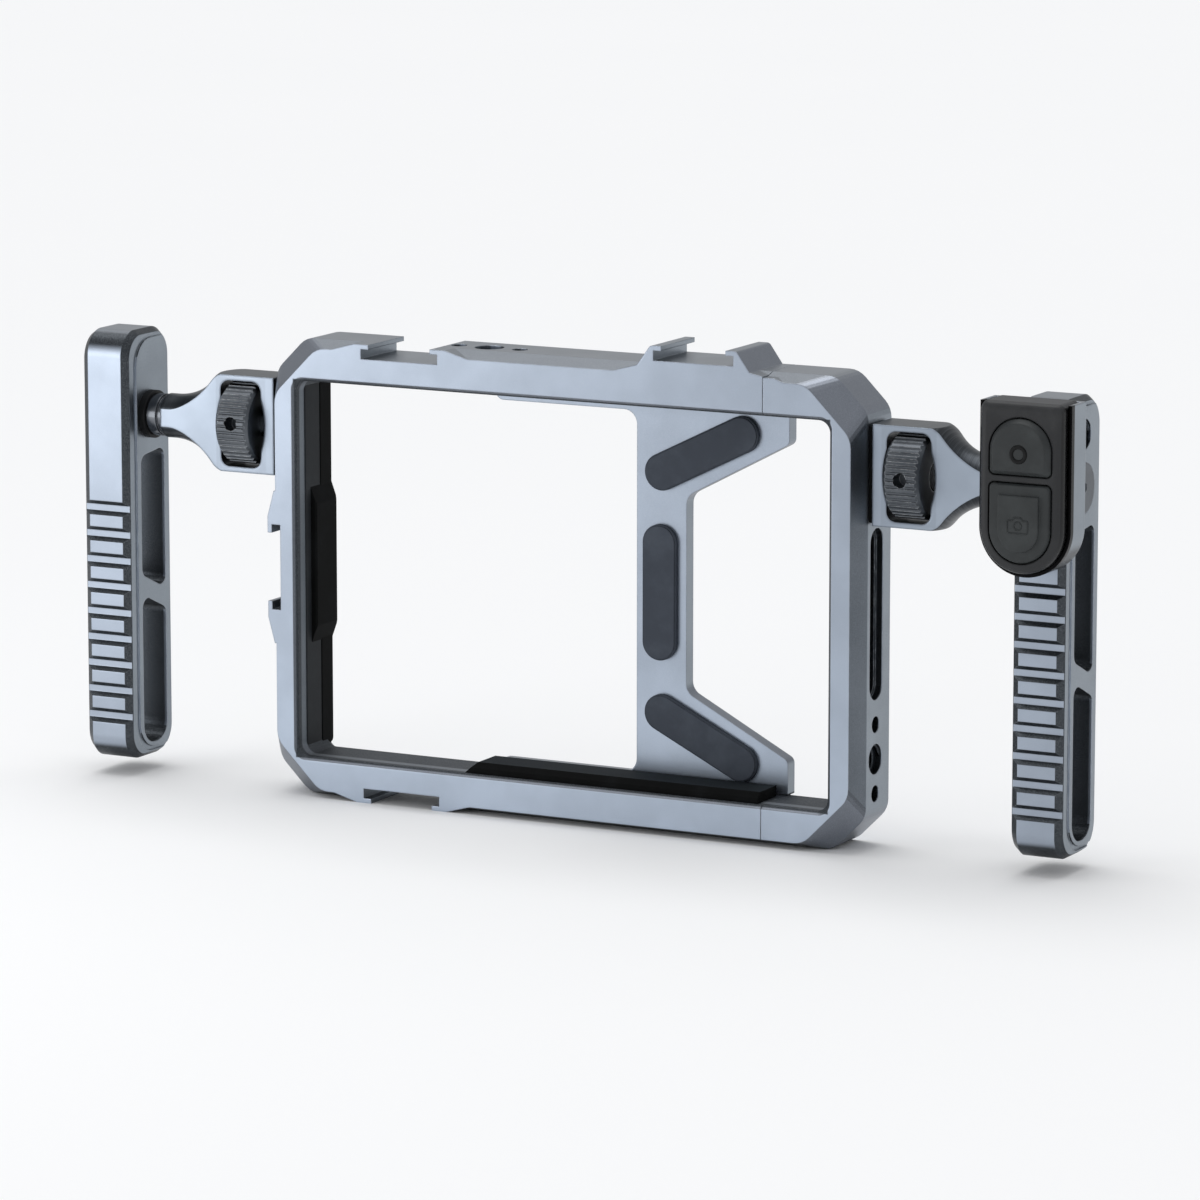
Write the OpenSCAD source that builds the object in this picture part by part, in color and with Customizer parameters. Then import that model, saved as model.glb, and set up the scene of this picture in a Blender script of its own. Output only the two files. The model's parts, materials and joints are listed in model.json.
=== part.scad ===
// Smartphone video rig: a telescoping metal cage with a K shaped back plate,
// cold shoes, two swivelling side grips on clamp arms, and a shutter remote.
// Millimetres, +Z up. X runs along the cage, Y from its front to its back.
// The origin is the middle of the closed cage's flat underside.

/* [Cage] */
// Length of the closed cage over its two end walls
cage_l = 139.3; // [130:0.1:160]
// Height over the two rails
cage_h = 98.6; // [90:0.1:110]
// Depth of the cage, front to back
cage_d = 15.4; // [14:0.1:20]
// Thickness of the end walls
wall_t = 6.9; // [6.5:0.1:10]
// Thickness of the top and bottom rails
rail_t = 8.75; // [8.5:0.05:12]
// Size of the cut-off outer corners behind the front bevel
corner_cut = 7.4; // [6:0.1:14]
// Rounding where a cut corner meets the straight sides
corner_round = 5; // [1:0.5:8]
// Radius of the opening's inner corners
inner_round = 2.6; // [1:0.1:5]
// Depth of the long bevel round the front
bevel_d = 4.5; // [2:0.1:6]
// How far the front bevel comes in at the end walls
bevel_side = 1.95; // [0.5:0.05:3]
// How far the front bevel comes in at the rails
bevel_rail = 1.55; // [0.5:0.05:2.5]
// How far the front bevel comes in at the cut corners
corner_bevel = 4.6; // [3:0.1:6]
// Chamfer on the front edge of the opening
mouth_chamfer = 0.8; // [0.3:0.1:1.5]
// Depth of the flare at the back of the opening
flare_d = 3; // [1:0.1:3.2]
// How far the flare widens the opening on each side
flare_out = 1; // [0.3:0.1:1.5]
// Distance of the telescoping joint from the cage's middle
seam_x = 47.8; // [46:0.1:52]
// Hairline between the two cage halves when closed
seam_gap = 0.12; // [0.08:0.01:0.3]

/* [Cold shoes] */
// Width of the slot a shoe foot slides in
shoe_slot_w = 18.4; // [18:0.1:19.5]
// Width of the mouth between the two lips
shoe_mouth_w = 14.8; // [13:0.1:16]
// Height of the slot under the lips
shoe_slot_h = 2.1; // [2:0.05:2.6]
// Thickness of the lips
shoe_lip_t = 1; // [0.8:0.05:1.6]
// Distance of the top and bottom shoes left of the middle
shoe_left_x = 37.3; // [34:0.1:42]
// Distance of the raised shoe right of the middle
shoe_right_x = 31.9; // [30:0.1:33]
// Height of the raised shoe's block above the rail
shoe_block_h = 4.2; // [3.5:0.1:6]
// Half length of the raised block at its top
shoe_block_top = 9.9; // [9.8:0.1:10.6]
// Half length of the raised block at its foot
shoe_block_foot = 12.9; // [12:0.1:13.6]
// Length of the slope where the bevel fades out beside a shoe
shoe_fade = 5.6; // [3:0.1:7]
// Width of the full height lip left beside a shoe slot
shoe_lip_w = 1.7; // [1:0.1:2.5]

/* [Threaded holes and locating holes] */
// Radius of a quarter inch camera thread
camera_r = 3.175; // [3.1:0.005:3.25]
// Radius of a locating pin hole
locate_r = 1.75; // [1.5:0.05:2.2]
// Distance of the locating holes from the camera thread
locate_pitch = 7.25; // [6.8:0.05:8.5]
// Depth of the blind locating holes
locate_depth = 3.2; // [2:0.1:4.5]
// Metal left between the top camera thread and the plate's flange
top_hole_floor = 0.6; // [0.3:0.1:1.2]
// Distance of the top camera thread left of the middle
top_hole_x = 20.4; // [19:0.1:22.5]
// Distance of the arms' threads below the cage's top
arm_drop = 19.8; // [17.4:0.1:21]
// Distance of the spare threads above the cage's underside
spare_rise = 19; // [17.4:0.1:20.5]
// Distance of the side threads behind the cage's mid depth
side_y = 1.1; // [0:0.1:2]

/* [Cable slot in the end wall] */
// Metal left between the slot's end and the nearest locating hole
slot_end_gap = 2.6; // [1.5:0.1:8]
// Width of the slot's outer pocket
slot_w = 6.1; // [5:0.1:8]
// Width of the ledge round the through slot
slot_ledge = 0.7; // [0.4:0.1:1]
// Depth of the ledge below the outer face
slot_step = 1.6; // [1:0.1:3]

/* [Guide rods and locks] */
// Radius of the two guide rods
rod_r = 2; // [1.5:0.1:2.2]
// Length of a guide rod
rod_l = 68; // [60:1:70]
// Length of the rod held in the end frame
rod_grip_l = 12; // [8:0.5:14]
// Distance of the rods in front of the cage's mid depth
rod_y = 1.9; // [1:0.1:3]
// Distance of the rods inside the rails' outer faces
rod_inset = 4.4; // [4:0.1:4.6]
// Distance of the lock screws left of the seam
lock_x = 4.6; // [4.2:0.1:5]
// Radius of a lock screw's shank
lock_r = 1.5; // [1:0.1:1.6]
// Radius of a lock screw's thumb head
lock_head_r = 3.4; // [3:0.1:3.6]
// Height of the thumb head
lock_head_h = 3.6; // [2.5:0.1:5]

/* [Back plate] */
// Thickness of the back plate
plate_t = 3.2; // [2:0.1:3.6]
// Distance of the plate's front face behind the cage's front
plate_y = 11.3; // [10.5:0.1:11.8]
// Left edge of the upright part, right of the middle
plate_left_x = 13.2; // [10:0.1:20]
// How far the plate's field runs past the seam
plate_over = 0.7; // [0.3:0.1:1.2]
// Bottom of the right hand notch, right of the middle
notch_x = 24.8; // [23.4:0.1:30]
// Distance of the notch's inner corners from the rails
notch_drop = 19.85; // [16:0.05:22]
// Distance of the notch's mouth from the rails
mouth_drop = 7.35; // [5.5:0.05:10]
// Rounding of the corners beside the notch's mouth
mouth_round = 1.6; // [0.5:0.1:3]
// Left end of the plate's long flanges, left of the middle
flange_left_x = 20.2; // [15:0.1:24]
// How far the upper flange shows inside its rail
lip_top = 2.55; // [1:0.05:4]
// How far the lower flange stands out of its rail, behind the rail pad
lip_bottom = 1.55; // [1:0.05:2.5]
// How far a flange reaches into its rail
flange_in = 3.6; // [3.2:0.1:4]
// Rounding of the plate's inner corners
plate_round = 3; // [1:0.1:4]
// Radius of the plate screws' heads
plate_screw_head_r = 1.5; // [1.2:0.1:1.6]

/* [Pads] */
// Thickness of the pads on the back plate
pad_t = 1.2; // [0.8:0.1:2]
// Half width of the pads on the back plate
pad_half_w = 3.9; // [3:0.1:4.2]
// Half length between the end centres of the middle pad
pad_mid_half = 10.5; // [8:0.1:14]
// Distance of the middle pad right of the cage's middle
pad_mid_x = 18.9; // [18:0.1:19.6]
// Inner end centre of a slanted pad, right of the middle
pad_in_x = 19.4; // [18.5:0.1:20]
// Inner end centre of a slanted pad, distance from the rail
pad_in_drop = 15.05; // [13.5:0.05:15.5]
// Outer end centre of a slanted pad, right of the middle
pad_out_x = 37.8; // [34:0.1:40]
// Outer end centre of a slanted pad, distance from the rail
pad_out_drop = 5.95; // [5.5:0.05:7.5]
// Thickness of the pads on the end walls
end_pad_t = 1.55; // [1:0.05:2.5]
// Distance of the left end pad's end from the nearest locating hole
end_pad_gap = 3.1; // [1:0.1:8]
// Length of an end pad's slanted ends
end_pad_slope = 4.2; // [2:0.1:5]
// Distance of the end pads behind the cage's front
end_pad_y = 6.2; // [4:0.1:8]
// Thickness of the pad on the bottom rail
rail_pad_t = 2.3; // [1.5:0.1:3]
// Left end of the bottom rail pad, left of the middle
rail_pad_left_x = 22.4; // [18:0.1:30]
// Length of its slanted left end
rail_pad_slope = 2.6; // [1:0.1:4]
// Distance of the right end pads from the end of the cable slot
right_pad_gap = 2.7; // [1:0.1:5]
// Distance of the right end pads from the rails
right_pad_drop = 3.75; // [2:0.05:6]

/* [Arms] */
// Length of an arm from the cage wall to its neck's end
arm_l = 29.2; // [28:0.1:36]
// Height of an arm's foot
foot_h = 21; // [20.6:0.1:26]
// Distance of the arm's flat front face from its axis
arm_front = 4.4; // [4:0.1:5]
// Distance of the arm's back face from its axis
arm_back = 4.9; // [4:0.1:5]
// Radius of the round neck
neck_r = 4.8; // [4.6:0.1:6]
// Radius of the curve that flares the neck into the foot
flare_r = 14.5; // [12:0.5:18]
// Radius of the shoulder that eases the flare into the foot
shoulder_r = 5; // [2:0.5:7]
// Length of the plain neck before the flare starts
neck_l = 1.8; // [1:0.1:4]
// Thickness of the rubber pad under an arm's foot
foot_pad_t = 0.9; // [0.6:0.1:1.5]
// Margin of the rubber pad inside the foot's outline
foot_pad_margin = 0.4; // [0.2:0.1:1]
// Near side of the wheel window, measured from the wall
window_x = 4.1; // [3.9:0.1:4.6]
// Length of the wheel window
window_l = 9.9; // [9.6:0.1:11]
// Height of the wheel window
window_h = 18.6; // [18.4:0.1:18.8]
// Rounding of the window's corners
window_round = 2.1; // [0.8:0.1:2.5]
// How far the window's sides bulge at the wheel
window_bulge = 0.9; // [0.3:0.1:1]
// Radius of the bulge
window_bulge_r = 17.5; // [12:0.5:24]
// Rounding of the rubber foot pad's corners
foot_round = 1; // [0.5:0.1:2]

/* [Clamp wheels] */
// Radius of a clamp wheel over its knurl
wheel_r = 9; // [8:0.1:9.1]
// Width of a clamp wheel
wheel_w = 8; // [6:0.1:8.4]
// Chamfer on both rims of a wheel
wheel_chamfer = 0.8; // [0.5:0.1:1.8]
// Number of knurl grooves
knurls = 40; // [24:4:44]
// Radius of a knurl groove
knurl_r = 0.35; // [0.2:0.05:0.4]
// Radius of the tommy bar hole
tommy_r = 1.5; // [1:0.1:1.8]
// Depth of the tommy bar hole
tommy_depth = 3.4; // [2:0.1:4]
// How far the left wheel is turned from upright holes, degrees
left_turn = -4; // [-45:1:45]
// How far the right wheel is turned from upright holes, degrees
right_turn = 0; // [-45:1:45]
// Length of the clamp screw beyond the wheel's near face
clamp_reach = 10.6; // [9:0.1:11]

/* [Locating pins] */
// Length of a locating pin standing in the cage wall
pin_out = 2.4; // [1.5:0.1:3]
// Length of a locating pin held in the foot
pin_in = 2; // [1.5:0.1:2.4]

/* [Swivel] */
// Length of the polished spacer beside the neck
spacer_l = 3.6; // [2.5:0.1:5]
// Radius of the polished spacer
spacer_r = 4.6; // [4.4:0.1:5]
// Length of the turned relief between the neck and the spacer's bead
relief_l = 1.2; // [0.5:0.1:1.8]
// Depth of that relief
relief_depth = 0.5; // [0.2:0.1:0.8]
// Radius of the bush's flange
bush_flange_r = 5.2; // [5:0.05:5.5]
// Thickness of the bush's flange
bush_flange_t = 1.63; // [1:0.01:3]
// Radius of the bush's barrel
bush_r = 4; // [3.8:0.1:4.4]
// Length of the bush's barrel in the grip
bush_l = 6; // [4:0.1:7]
// Radius of the pivot bolt's shank
bolt_r = 3; // [2.5:0.1:3.2]
// Radius of the pivot bolt's flat head
bolt_head_r = 5.2; // [5:0.1:5.5]
// Thickness of the pivot bolt's head
bolt_head_t = 2.2; // [1.5:0.1:3]
// Length of the bolt screwed into the neck
bolt_in = 10; // [6:0.5:11]
// Across flats of the hexagon socket in the bolt's head
socket_af = 2.5; // [2:0.5:4]

/* [Grips] */
// Thickness of a grip across its side faces
grip_w = 11.3; // [10.8:0.1:14]
// Depth of a grip, front to back
grip_d = 17.8; // [17.4:0.1:22]
// Height of a grip
grip_h = 94; // [93:0.5:110]
// Height of a grip's top above its swivel axis
grip_top = 18.6; // [18.2:0.1:19]
// Rounding of a grip's top and bottom ends
grip_round = 5.5; // [3:0.1:6]
// Width of the grip's edge bevel
grip_bevel_x = 1.5; // [0.8:0.1:1.8]
// Depth of the grip's edge bevel
grip_bevel_y = 1; // [0.5:0.1:1.4]
// Distance of the swivel axis behind the grip's mid depth
grip_shift = 0.5; // [0:0.1:0.6]
// Number of finger grooves
grooves = 9; // [6:1:10]
// Distance between finger grooves
groove_pitch = 5.71; // [5:0.01:5.8]
// Drop of the first groove below the swivel axis
groove_drop = 19.9; // [19:0.1:21]
// Height of a groove's flat bottom
groove_floor = 1.35; // [0.8:0.05:2]
// Depth of a groove, also the height of each of its slopes
groove_depth = 0.9; // [0.5:0.05:1.2]
// Distance of the side line groove behind the grip's front
line_y = 2.6; // [2.2:0.1:3]
// Width of the side line groove
line_w = 1.4; // [0.8:0.1:1.6]
// Distance of the side line groove from the grip's ends
line_end = 1.3; // [1.2:0.1:2.6]
// Rounding of the side line groove's corners
line_round = 6; // [4:0.5:8]
// Depth of the side line groove
line_depth = 0.4; // [0.2:0.05:0.6]
// Front edge of the grip windows behind the grip's front
hole_front = 5.4; // [5.2:0.1:6.5]
// Width of the grip windows
hole_w = 9.6; // [8:0.1:9.8]
// Drop of the upper window's top below the swivel axis
hole_top_drop = 7.8; // [7.4:0.1:9]
// Drop of the diagonal web's front end below the swivel axis
web_drop = 34.9; // [32:0.1:40]
// Height of the diagonal web measured upright
web_t = 4.3; // [3:0.1:6]
// Fall of the diagonal web from front to back
web_fall = 4.2; // [2:0.1:6]
// Thickness of the grip's bottom under the lower window
grip_floor = 3; // [2.4:0.1:4]
// Rise of the camera thread in the grip above the swivel axis
grip_hole_rise = 10.9; // [10.6:0.1:11]
// Depth of the camera thread in the grip
grip_hole_depth = 8; // [6:0.1:9]

/* [Remote] */
// Width of the remote
remote_w = 18.1; // [17:0.1:22]
// Height of the remote
remote_h = 34.6; // [34:0.1:42]
// Thickness of the remote
remote_d = 8.4; // [8.2:0.1:10]
// Drop of the remote's foot below the swivel axis
remote_drop = 15.2; // [14.5:0.1:15.6]
// Thickness of the remote's walls
case_t = 1.2; // [1:0.1:1.4]
// Rounding round the remote's front
case_round = 1.5; // [0.6:0.1:1.6]
// Rounding of the remote's top corners
case_corner = 1.5; // [1:0.1:3]
// Thickness of the remote's back cover
cover_t = 1.2; // [1:0.1:1.5]
// Thickness of the cradle's rim
cradle_rim_t = 0.8; // [0.6:0.1:1.5]
// Thickness of the cradle's floor
cradle_floor_t = 1.2; // [1:0.1:1.6]
// Drop of the cradle's top below the remote's top
cradle_drop = 0.3; // [0.1:0.1:3]
// Depth of the cradle
cradle_d = 7.1; // [5:0.1:8]
// Width of the buttons at their foot
button_w = 13.2; // [12:0.1:14]
// Width of the buttons at their top
button_top_w = 11.2; // [9:0.1:12]
// Rounding of the two corners where the buttons face each other
button_corner = 1; // [0.4:0.1:2]
// How far the buttons stand out of the remote
button_out = 1.1; // [0.7:0.1:1.5]
// Distance of the lower button's raised field inside its outline
step_margin = 2; // [1.4:0.1:2.6]
// Height of that raised field
step_h = 0.6; // [0.3:0.05:0.65]
// Travel of the buttons
button_travel = 0.6; // [0.3:0.05:0.7]
// Foot of the upper button above the remote's foot
upper_button_z = 20.1; // [19.8:0.1:20.6]
// Height of the upper button
upper_button_h = 11.3; // [10.5:0.1:12]
// Foot of the lower button above the remote's foot
lower_button_z = 2.4; // [2.2:0.1:2.8]
// Height of the lower button
lower_button_h = 15.9; // [15:0.1:16.2]
// Width of the ledge that keeps a button in the case
button_ledge = 0.6; // [0.4:0.05:0.7]
// Thickness of that ledge
button_ledge_t = 0.7; // [0.5:0.05:0.9]
// Thickness of the circuit board
board_t = 0.8; // [0.6:0.1:1]
// Radius of the button cell
cell_r = 5; // [4.5:0.1:5.6]
// Thickness of the button cell
cell_t = 1.6; // [1.2:0.1:1.7]
// Radius of the two dome switches
switch_r = 2; // [1.5:0.1:2.5]
// Radius of the cradle screws' shanks
cradle_screw_r = 1; // [0.8:0.1:1.2]
// Length of the cradle screws
cradle_screw_l = 5; // [4:0.1:5]

/* [Fits] */
// Radial clearance of turning and sliding shafts
run_gap = 0.05; // [0.02:0.01:0.09]
// Radial clearance of shafts that stay put
fix_gap = 0.02; // [0.01:0.01:0.03]
// Clearance of the remote in its cradle
slide_gap = 0.06; // [0.04:0.01:0.1]
// Clearance of the buttons in the case
button_gap = 0.3; // [0.15:0.05:0.35]

/* [Hidden] */
cut = 1; // overrun of every cut past the face it opens
$fn = 64;
arc_step = 11; // turn of one facet of a rounded corner, degrees

half_l = cage_l / 2;
half_d = cage_d / 2;
mid_z = cage_h / 2;
front_y = -half_d;
inner_l = cage_l - 2 * wall_t;
inner_h = cage_h - 2 * rail_t;
half_in_l = inner_l / 2;
half_in_h = inner_h / 2;
front_cut = corner_cut + corner_bevel * sqrt(2) - bevel_side - bevel_rail;
main_end_x = seam_x - seam_gap / 2;
end_start_x = seam_x + seam_gap / 2;
shoe_depth = shoe_slot_h + shoe_lip_t;
arm_z = cage_h - arm_drop;
spare_z = spare_rise;
locate_reach = locate_pitch + locate_r;
top_hole_depth = rail_t - flange_in - top_hole_floor;
slot_half = arm_z - mid_z - locate_reach - slot_end_gap;
end_pad_half = arm_z - mid_z - locate_reach - end_pad_gap;
pad_in_z = half_in_h - pad_in_drop;
pad_out_z = half_in_h - pad_out_drop;
plate_front = front_y + plate_y;
plate_back = plate_front + plate_t;
rod_z_top = cage_h - rod_inset;
rod_end_x = end_start_x + rod_grip_l;
rod_start_x = rod_end_x - rod_l;
grip_mid_y = side_y - grip_shift;
grip_front = grip_mid_y - grip_d / 2;
grip_foot_x = arm_l + spacer_l + run_gap + bush_flange_t;
grip_out_x = grip_foot_x + grip_w;
remote_x = half_l + grip_foot_x + grip_w / 2;
remote_foot_z = arm_z - remote_drop;
cradle_floor_y = grip_front - cradle_floor_t;
remote_back = cradle_floor_y - slide_gap;
remote_front = remote_back - remote_d;
board_y = remote_back - cover_t - cell_t - board_t;
button_back = board_y - button_travel - button_gap;
wheel_x = window_x + (window_l - wheel_w) / 2;

// Helpers: an XZ outline pushed along Y, a YZ outline pushed along X,
// and a polygon whose corners are rounded one by one.
module along_y(y0, d) {
  translate([0, y0 + d, 0]) rotate([90, 0, 0]) linear_extrude(height = d) children();
}

module along_x(x0, l) {
  translate([x0, 0, 0]) rotate([90, 0, 90]) linear_extrude(height = l) children();
}

module rod_x(x0, l, r) {
  translate([x0, 0, 0]) rotate([0, 90, 0]) cylinder(h = l, r = r);
}

module rod_y_axis(y0, l, r) {
  translate([0, y0, 0]) rotate([-90, 0, 0]) cylinder(h = l, r = r);
}

function unit(v) = v / norm(v);

function corner_arc(a, b, c, r) =
  let (u = unit(a - b), w = unit(c - b))
  let (half = acos(min(1, max(-1, u * w))) / 2)
  let (m = b + unit(u + w) * r / sin(half))
  let (s = b + u * r / tan(half), e = b + w * r / tan(half))
  let (a0 = atan2(s[1] - m[1], s[0] - m[0]), a1 = atan2(e[1] - m[1], e[0] - m[0]))
  let (turn = a1 - a0 > 180 ? a1 - a0 - 360 : (a1 - a0 < -180 ? a1 - a0 + 360 : a1 - a0))
  let (n = max(2, round(abs(turn) / arc_step)))
  [for (i = [0 : n]) m + r * [cos(a0 + turn * i / n), sin(a0 + turn * i / n)]];

function wrap(i, n) = (i + n) % n;

// Each entry of p is [x, y, corner radius]; a radius of 0 leaves it sharp.
function eased(p) =
  let (n = len(p))
  [for (i = [0 : n - 1])
    let (a = p[wrap(i - 1, n)], b = p[i], c = p[wrap(i + 1, n)])
    each (b[2] > 0
      ? corner_arc([a[0], a[1]], [b[0], b[1]], [c[0], c[1]], b[2])
      : [[b[0], b[1]]])];

module eased_rect(w, h, r) {
  square([w - 2 * r, h], center = true);
  square([w, h - 2 * r], center = true);
  for (sx = [-1, 1], sy = [-1, 1])
    translate([sx * (w / 2 - r), sy * (h / 2 - r)]) circle(r = r);
}

module stadium(p, q, r) {
  d = q - p;
  translate(p) circle(r = r);
  translate(q) circle(r = r);
  translate(p) rotate(atan2(d[1], d[0])) translate([0, -r]) square([norm(d), 2 * r]);
}

// Cage body: one ring, cut later at the telescoping joint
module cage_outline(x, z, c) {
  r = corner_round;
  polygon(eased([
    [-x, c - z, r], [c - x, -z, r], [x - c, -z, r], [x, c - z, r],
    [x, z - c, r], [x - c, z, r], [c - x, z, r], [-x, z - c, r]]));
}

// Outline of one rail's shoe lips: the bevel fades out beside the slot.
module shoe_lips_outline() {
  top = shoe_slot_w / 2 + shoe_lip_w;
  foot = top + shoe_fade;
  low = -bevel_rail - shoe_depth;
  polygon([[-foot, -bevel_rail], [-top, 0], [top, 0], [foot, -bevel_rail],
    [foot, low], [-foot, low]]);
}

module raised_block_outline() {
  polygon(eased([
    [-shoe_block_foot - shoe_fade, -bevel_rail, 0], [-shoe_block_foot, 0, 0],
    [-shoe_block_top, shoe_block_h, shoe_lip_t], [shoe_block_top, shoe_block_h, shoe_lip_t],
    [shoe_block_foot, 0, 0], [seam_x - shoe_right_x + cut, -bevel_rail / 2, 0],
    [seam_x - shoe_right_x + cut, -rail_t / 2, 0],
    [-shoe_block_foot - shoe_fade, -rail_t / 2, 0]]));
}

module seam_fade_outline() {
  polygon([[-cut, -bevel_rail / 2], [seam_fade_l, -bevel_rail / 2],
    [2 * seam_fade_l, -bevel_rail], [2 * seam_fade_l, -rail_t / 2], [-cut, -rail_t / 2]]);
}
seam_fade_l = 2.4;

// T slot of a cold shoe, opening upwards, its lips' tops at zero
module shoe_slot_outline() {
  translate([-shoe_slot_w / 2, -shoe_depth]) square([shoe_slot_w, shoe_slot_h]);
  translate([-shoe_mouth_w / 2, -shoe_depth]) square([shoe_mouth_w, shoe_depth + cut]);
}

module cage_ring() {
  difference() {
    hull() {
      translate([0, 0, mid_z])
        along_y(front_y + bevel_d, cage_d - bevel_d) cage_outline(half_l, mid_z, corner_cut);
      translate([0, 0, mid_z])
        along_y(front_y, front_land) cage_outline(half_l - bevel_side, mid_z - bevel_rail, front_cut);
    }
    translate([0, 0, mid_z]) along_y(front_y - cut, cage_d + 2 * cut)
      eased_rect(inner_l, inner_h, inner_round);
    mouth_cut(front_y + mouth_chamfer, mouth_chamfer + cut, 1, 0);
    mouth_cut(half_d - flare_d, flare_d + cut, flare_out / flare_d, 1);
  }
}

front_land = 0.02; // depth left straight at the very front, so that the hull has a solid to span

// Flares the opening outwards from a depth, at the front or at the back.
module mouth_cut(y0, d, slope, back) {
  grow = d * slope;
  s = [(inner_l + 2 * grow) / inner_l, (inner_h + 2 * grow) / inner_h];
  translate([0, y0, mid_z]) rotate([90, 0, 0]) mirror([0, 0, back])
    linear_extrude(height = d, scale = s, slices = 1) eased_rect(inner_l, inner_h, inner_round);
}

module camera_hole_pattern(depth) {
  rod_x(-depth, depth + cut, camera_r);
  for (s = [-1, 1])
    translate([0, 0, s * locate_pitch]) rod_x(-locate_depth, locate_depth + cut, locate_r);
}

module left_of(x) {
  translate([x - cage_l, -cage_d, -cut]) cube([cage_l, 2 * cage_d, 2 * cage_h]);
}

module right_of(x) {
  translate([x, -cage_d, -cut]) cube([cage_l, 2 * cage_d, 2 * cage_h]);
}

module main_frame() {
  color([0.62, 0.65, 0.7])
  difference() {
    union() {
      intersection() {
        cage_ring();
        left_of(main_end_x);
      }
      translate([-shoe_left_x, 0, cage_h]) along_y(front_y, bevel_d + cut) shoe_lips_outline();
      translate([-shoe_left_x, 0, 0]) mirror([0, 0, 1])
        along_y(front_y, bevel_d + cut) shoe_lips_outline();
      translate([-half_l, 0, mid_z]) rotate([0, -90, 0])
        along_y(front_y, bevel_d + cut) shoe_lips_outline();
      intersection() {
        translate([shoe_right_x, 0, cage_h]) along_y(front_y, cage_d) raised_block_outline();
        left_of(main_end_x);
      }
    }
    translate([-shoe_left_x, 0, cage_h]) along_y(front_y - cut, cage_d + 2 * cut) shoe_slot_outline();
    translate([-shoe_left_x, 0, 0]) mirror([0, 0, 1])
      along_y(front_y - cut, cage_d + 2 * cut) shoe_slot_outline();
    translate([-half_l, 0, mid_z]) rotate([0, -90, 0])
      along_y(front_y - cut, cage_d + 2 * cut) shoe_slot_outline();
    translate([shoe_right_x, 0, cage_h + shoe_block_h])
      along_y(front_y - cut, cage_d + 2 * cut) shoe_slot_outline();
    translate([-top_hole_x, side_y, cage_h]) rotate([0, -90, 0])
      camera_hole_pattern(top_hole_depth);
    for (z = [arm_z, spare_z])
      translate([-half_l, side_y, z]) mirror([1, 0, 0]) camera_hole_pattern(wall_t + cut);
    rod_bores();
    plate_rebate();
    plate_screw_holes(fix_gap);
    lock_holes();
  }
}

module rod_bores() {
  for (z = [rod_inset, rod_z_top])
    translate([0, -rod_y, z])
      rod_x(rod_start_x - 2 * cut, seam_x - rod_start_x + 3 * cut, rod_r + run_gap);
}

module lock_holes() {
  for (z = [rod_inset, rod_z_top])
    translate([seam_x - lock_x, 0, z])
      rod_y_axis(-rod_y, half_d + rod_y + cut, lock_r + run_gap);
}

// Shallow recess behind each rail that takes the back plate's flanges
module plate_rebate() {
  x0 = -flange_left_x - fix_gap;
  reach = half_in_h + flange_in + fix_gap;
  for (s = [0, 1])
    translate([0, 0, mid_z]) mirror([0, 0, s]) along_y(plate_front, half_d - plate_front + cut)
      translate([x0, half_in_h - cut]) square([seam_x - x0 + cut, reach - half_in_h + cut]);
}

module end_frame() {
  color([0.6, 0.63, 0.68])
  difference() {
    union() {
      intersection() {
        cage_ring();
        right_of(end_start_x);
      }
      intersection() {
        translate([seam_x, 0, cage_h]) along_y(front_y, bevel_d) seam_fade_outline();
        right_of(end_start_x);
      }
    }
    for (z = [arm_z, spare_z])
      translate([half_l, side_y, z]) camera_hole_pattern(wall_t + cut);
    translate([0, side_y, mid_z]) {
      along_x(half_l - slot_step, slot_step + cut)
        stadium([0, slot_w / 2 - slot_half], [0, slot_half - slot_w / 2], slot_w / 2);
      along_x(half_l - wall_t - cut, wall_t + 2 * cut)
        stadium([0, slot_w / 2 - slot_half], [0, slot_half - slot_w / 2], slot_w / 2 - slot_ledge);
    }
    for (z = [rod_inset, rod_z_top])
      translate([0, -rod_y, z])
        rod_x(end_start_x - cut, rod_grip_l + cut, rod_r + fix_gap);
  }
}

module guide_rod(z) {
  color([0.75, 0.76, 0.78])
  translate([0, -rod_y, z]) {
    rod_x(rod_start_x + rod_tip, rod_l - rod_tip, rod_r);
    translate([rod_start_x, 0, 0]) rotate([0, 90, 0])
      cylinder(h = rod_tip, r1 = rod_r - rod_tip, r2 = rod_r);
  }
}
rod_tip = 0.5;

// Thumb screw through the back of a rail, its tip just off the rod
module lock_screw(z) {
  y0 = rod_r - rod_y + run_gap;
  color([0.3, 0.32, 0.35])
  translate([seam_x - lock_x, 0, z]) difference() {
    union() {
      rod_y_axis(y0, half_d - y0 + run_gap, lock_r);
      rod_y_axis(half_d + run_gap, lock_head_h, lock_head_r);
    }
    for (i = [0 : lock_knurls - 1])
      rotate([0, i * 360 / lock_knurls, 0]) translate([lock_head_r, 0, 0])
        rod_y_axis(half_d, lock_head_h + 2 * cut, lock_knurl_r);
    rod_y_axis(half_d + run_gap + lock_head_h - lock_dimple, lock_dimple + cut, lock_r);
  }
}
lock_knurls = 16;
lock_knurl_r = 0.35;
lock_dimple = 0.6;

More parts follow.
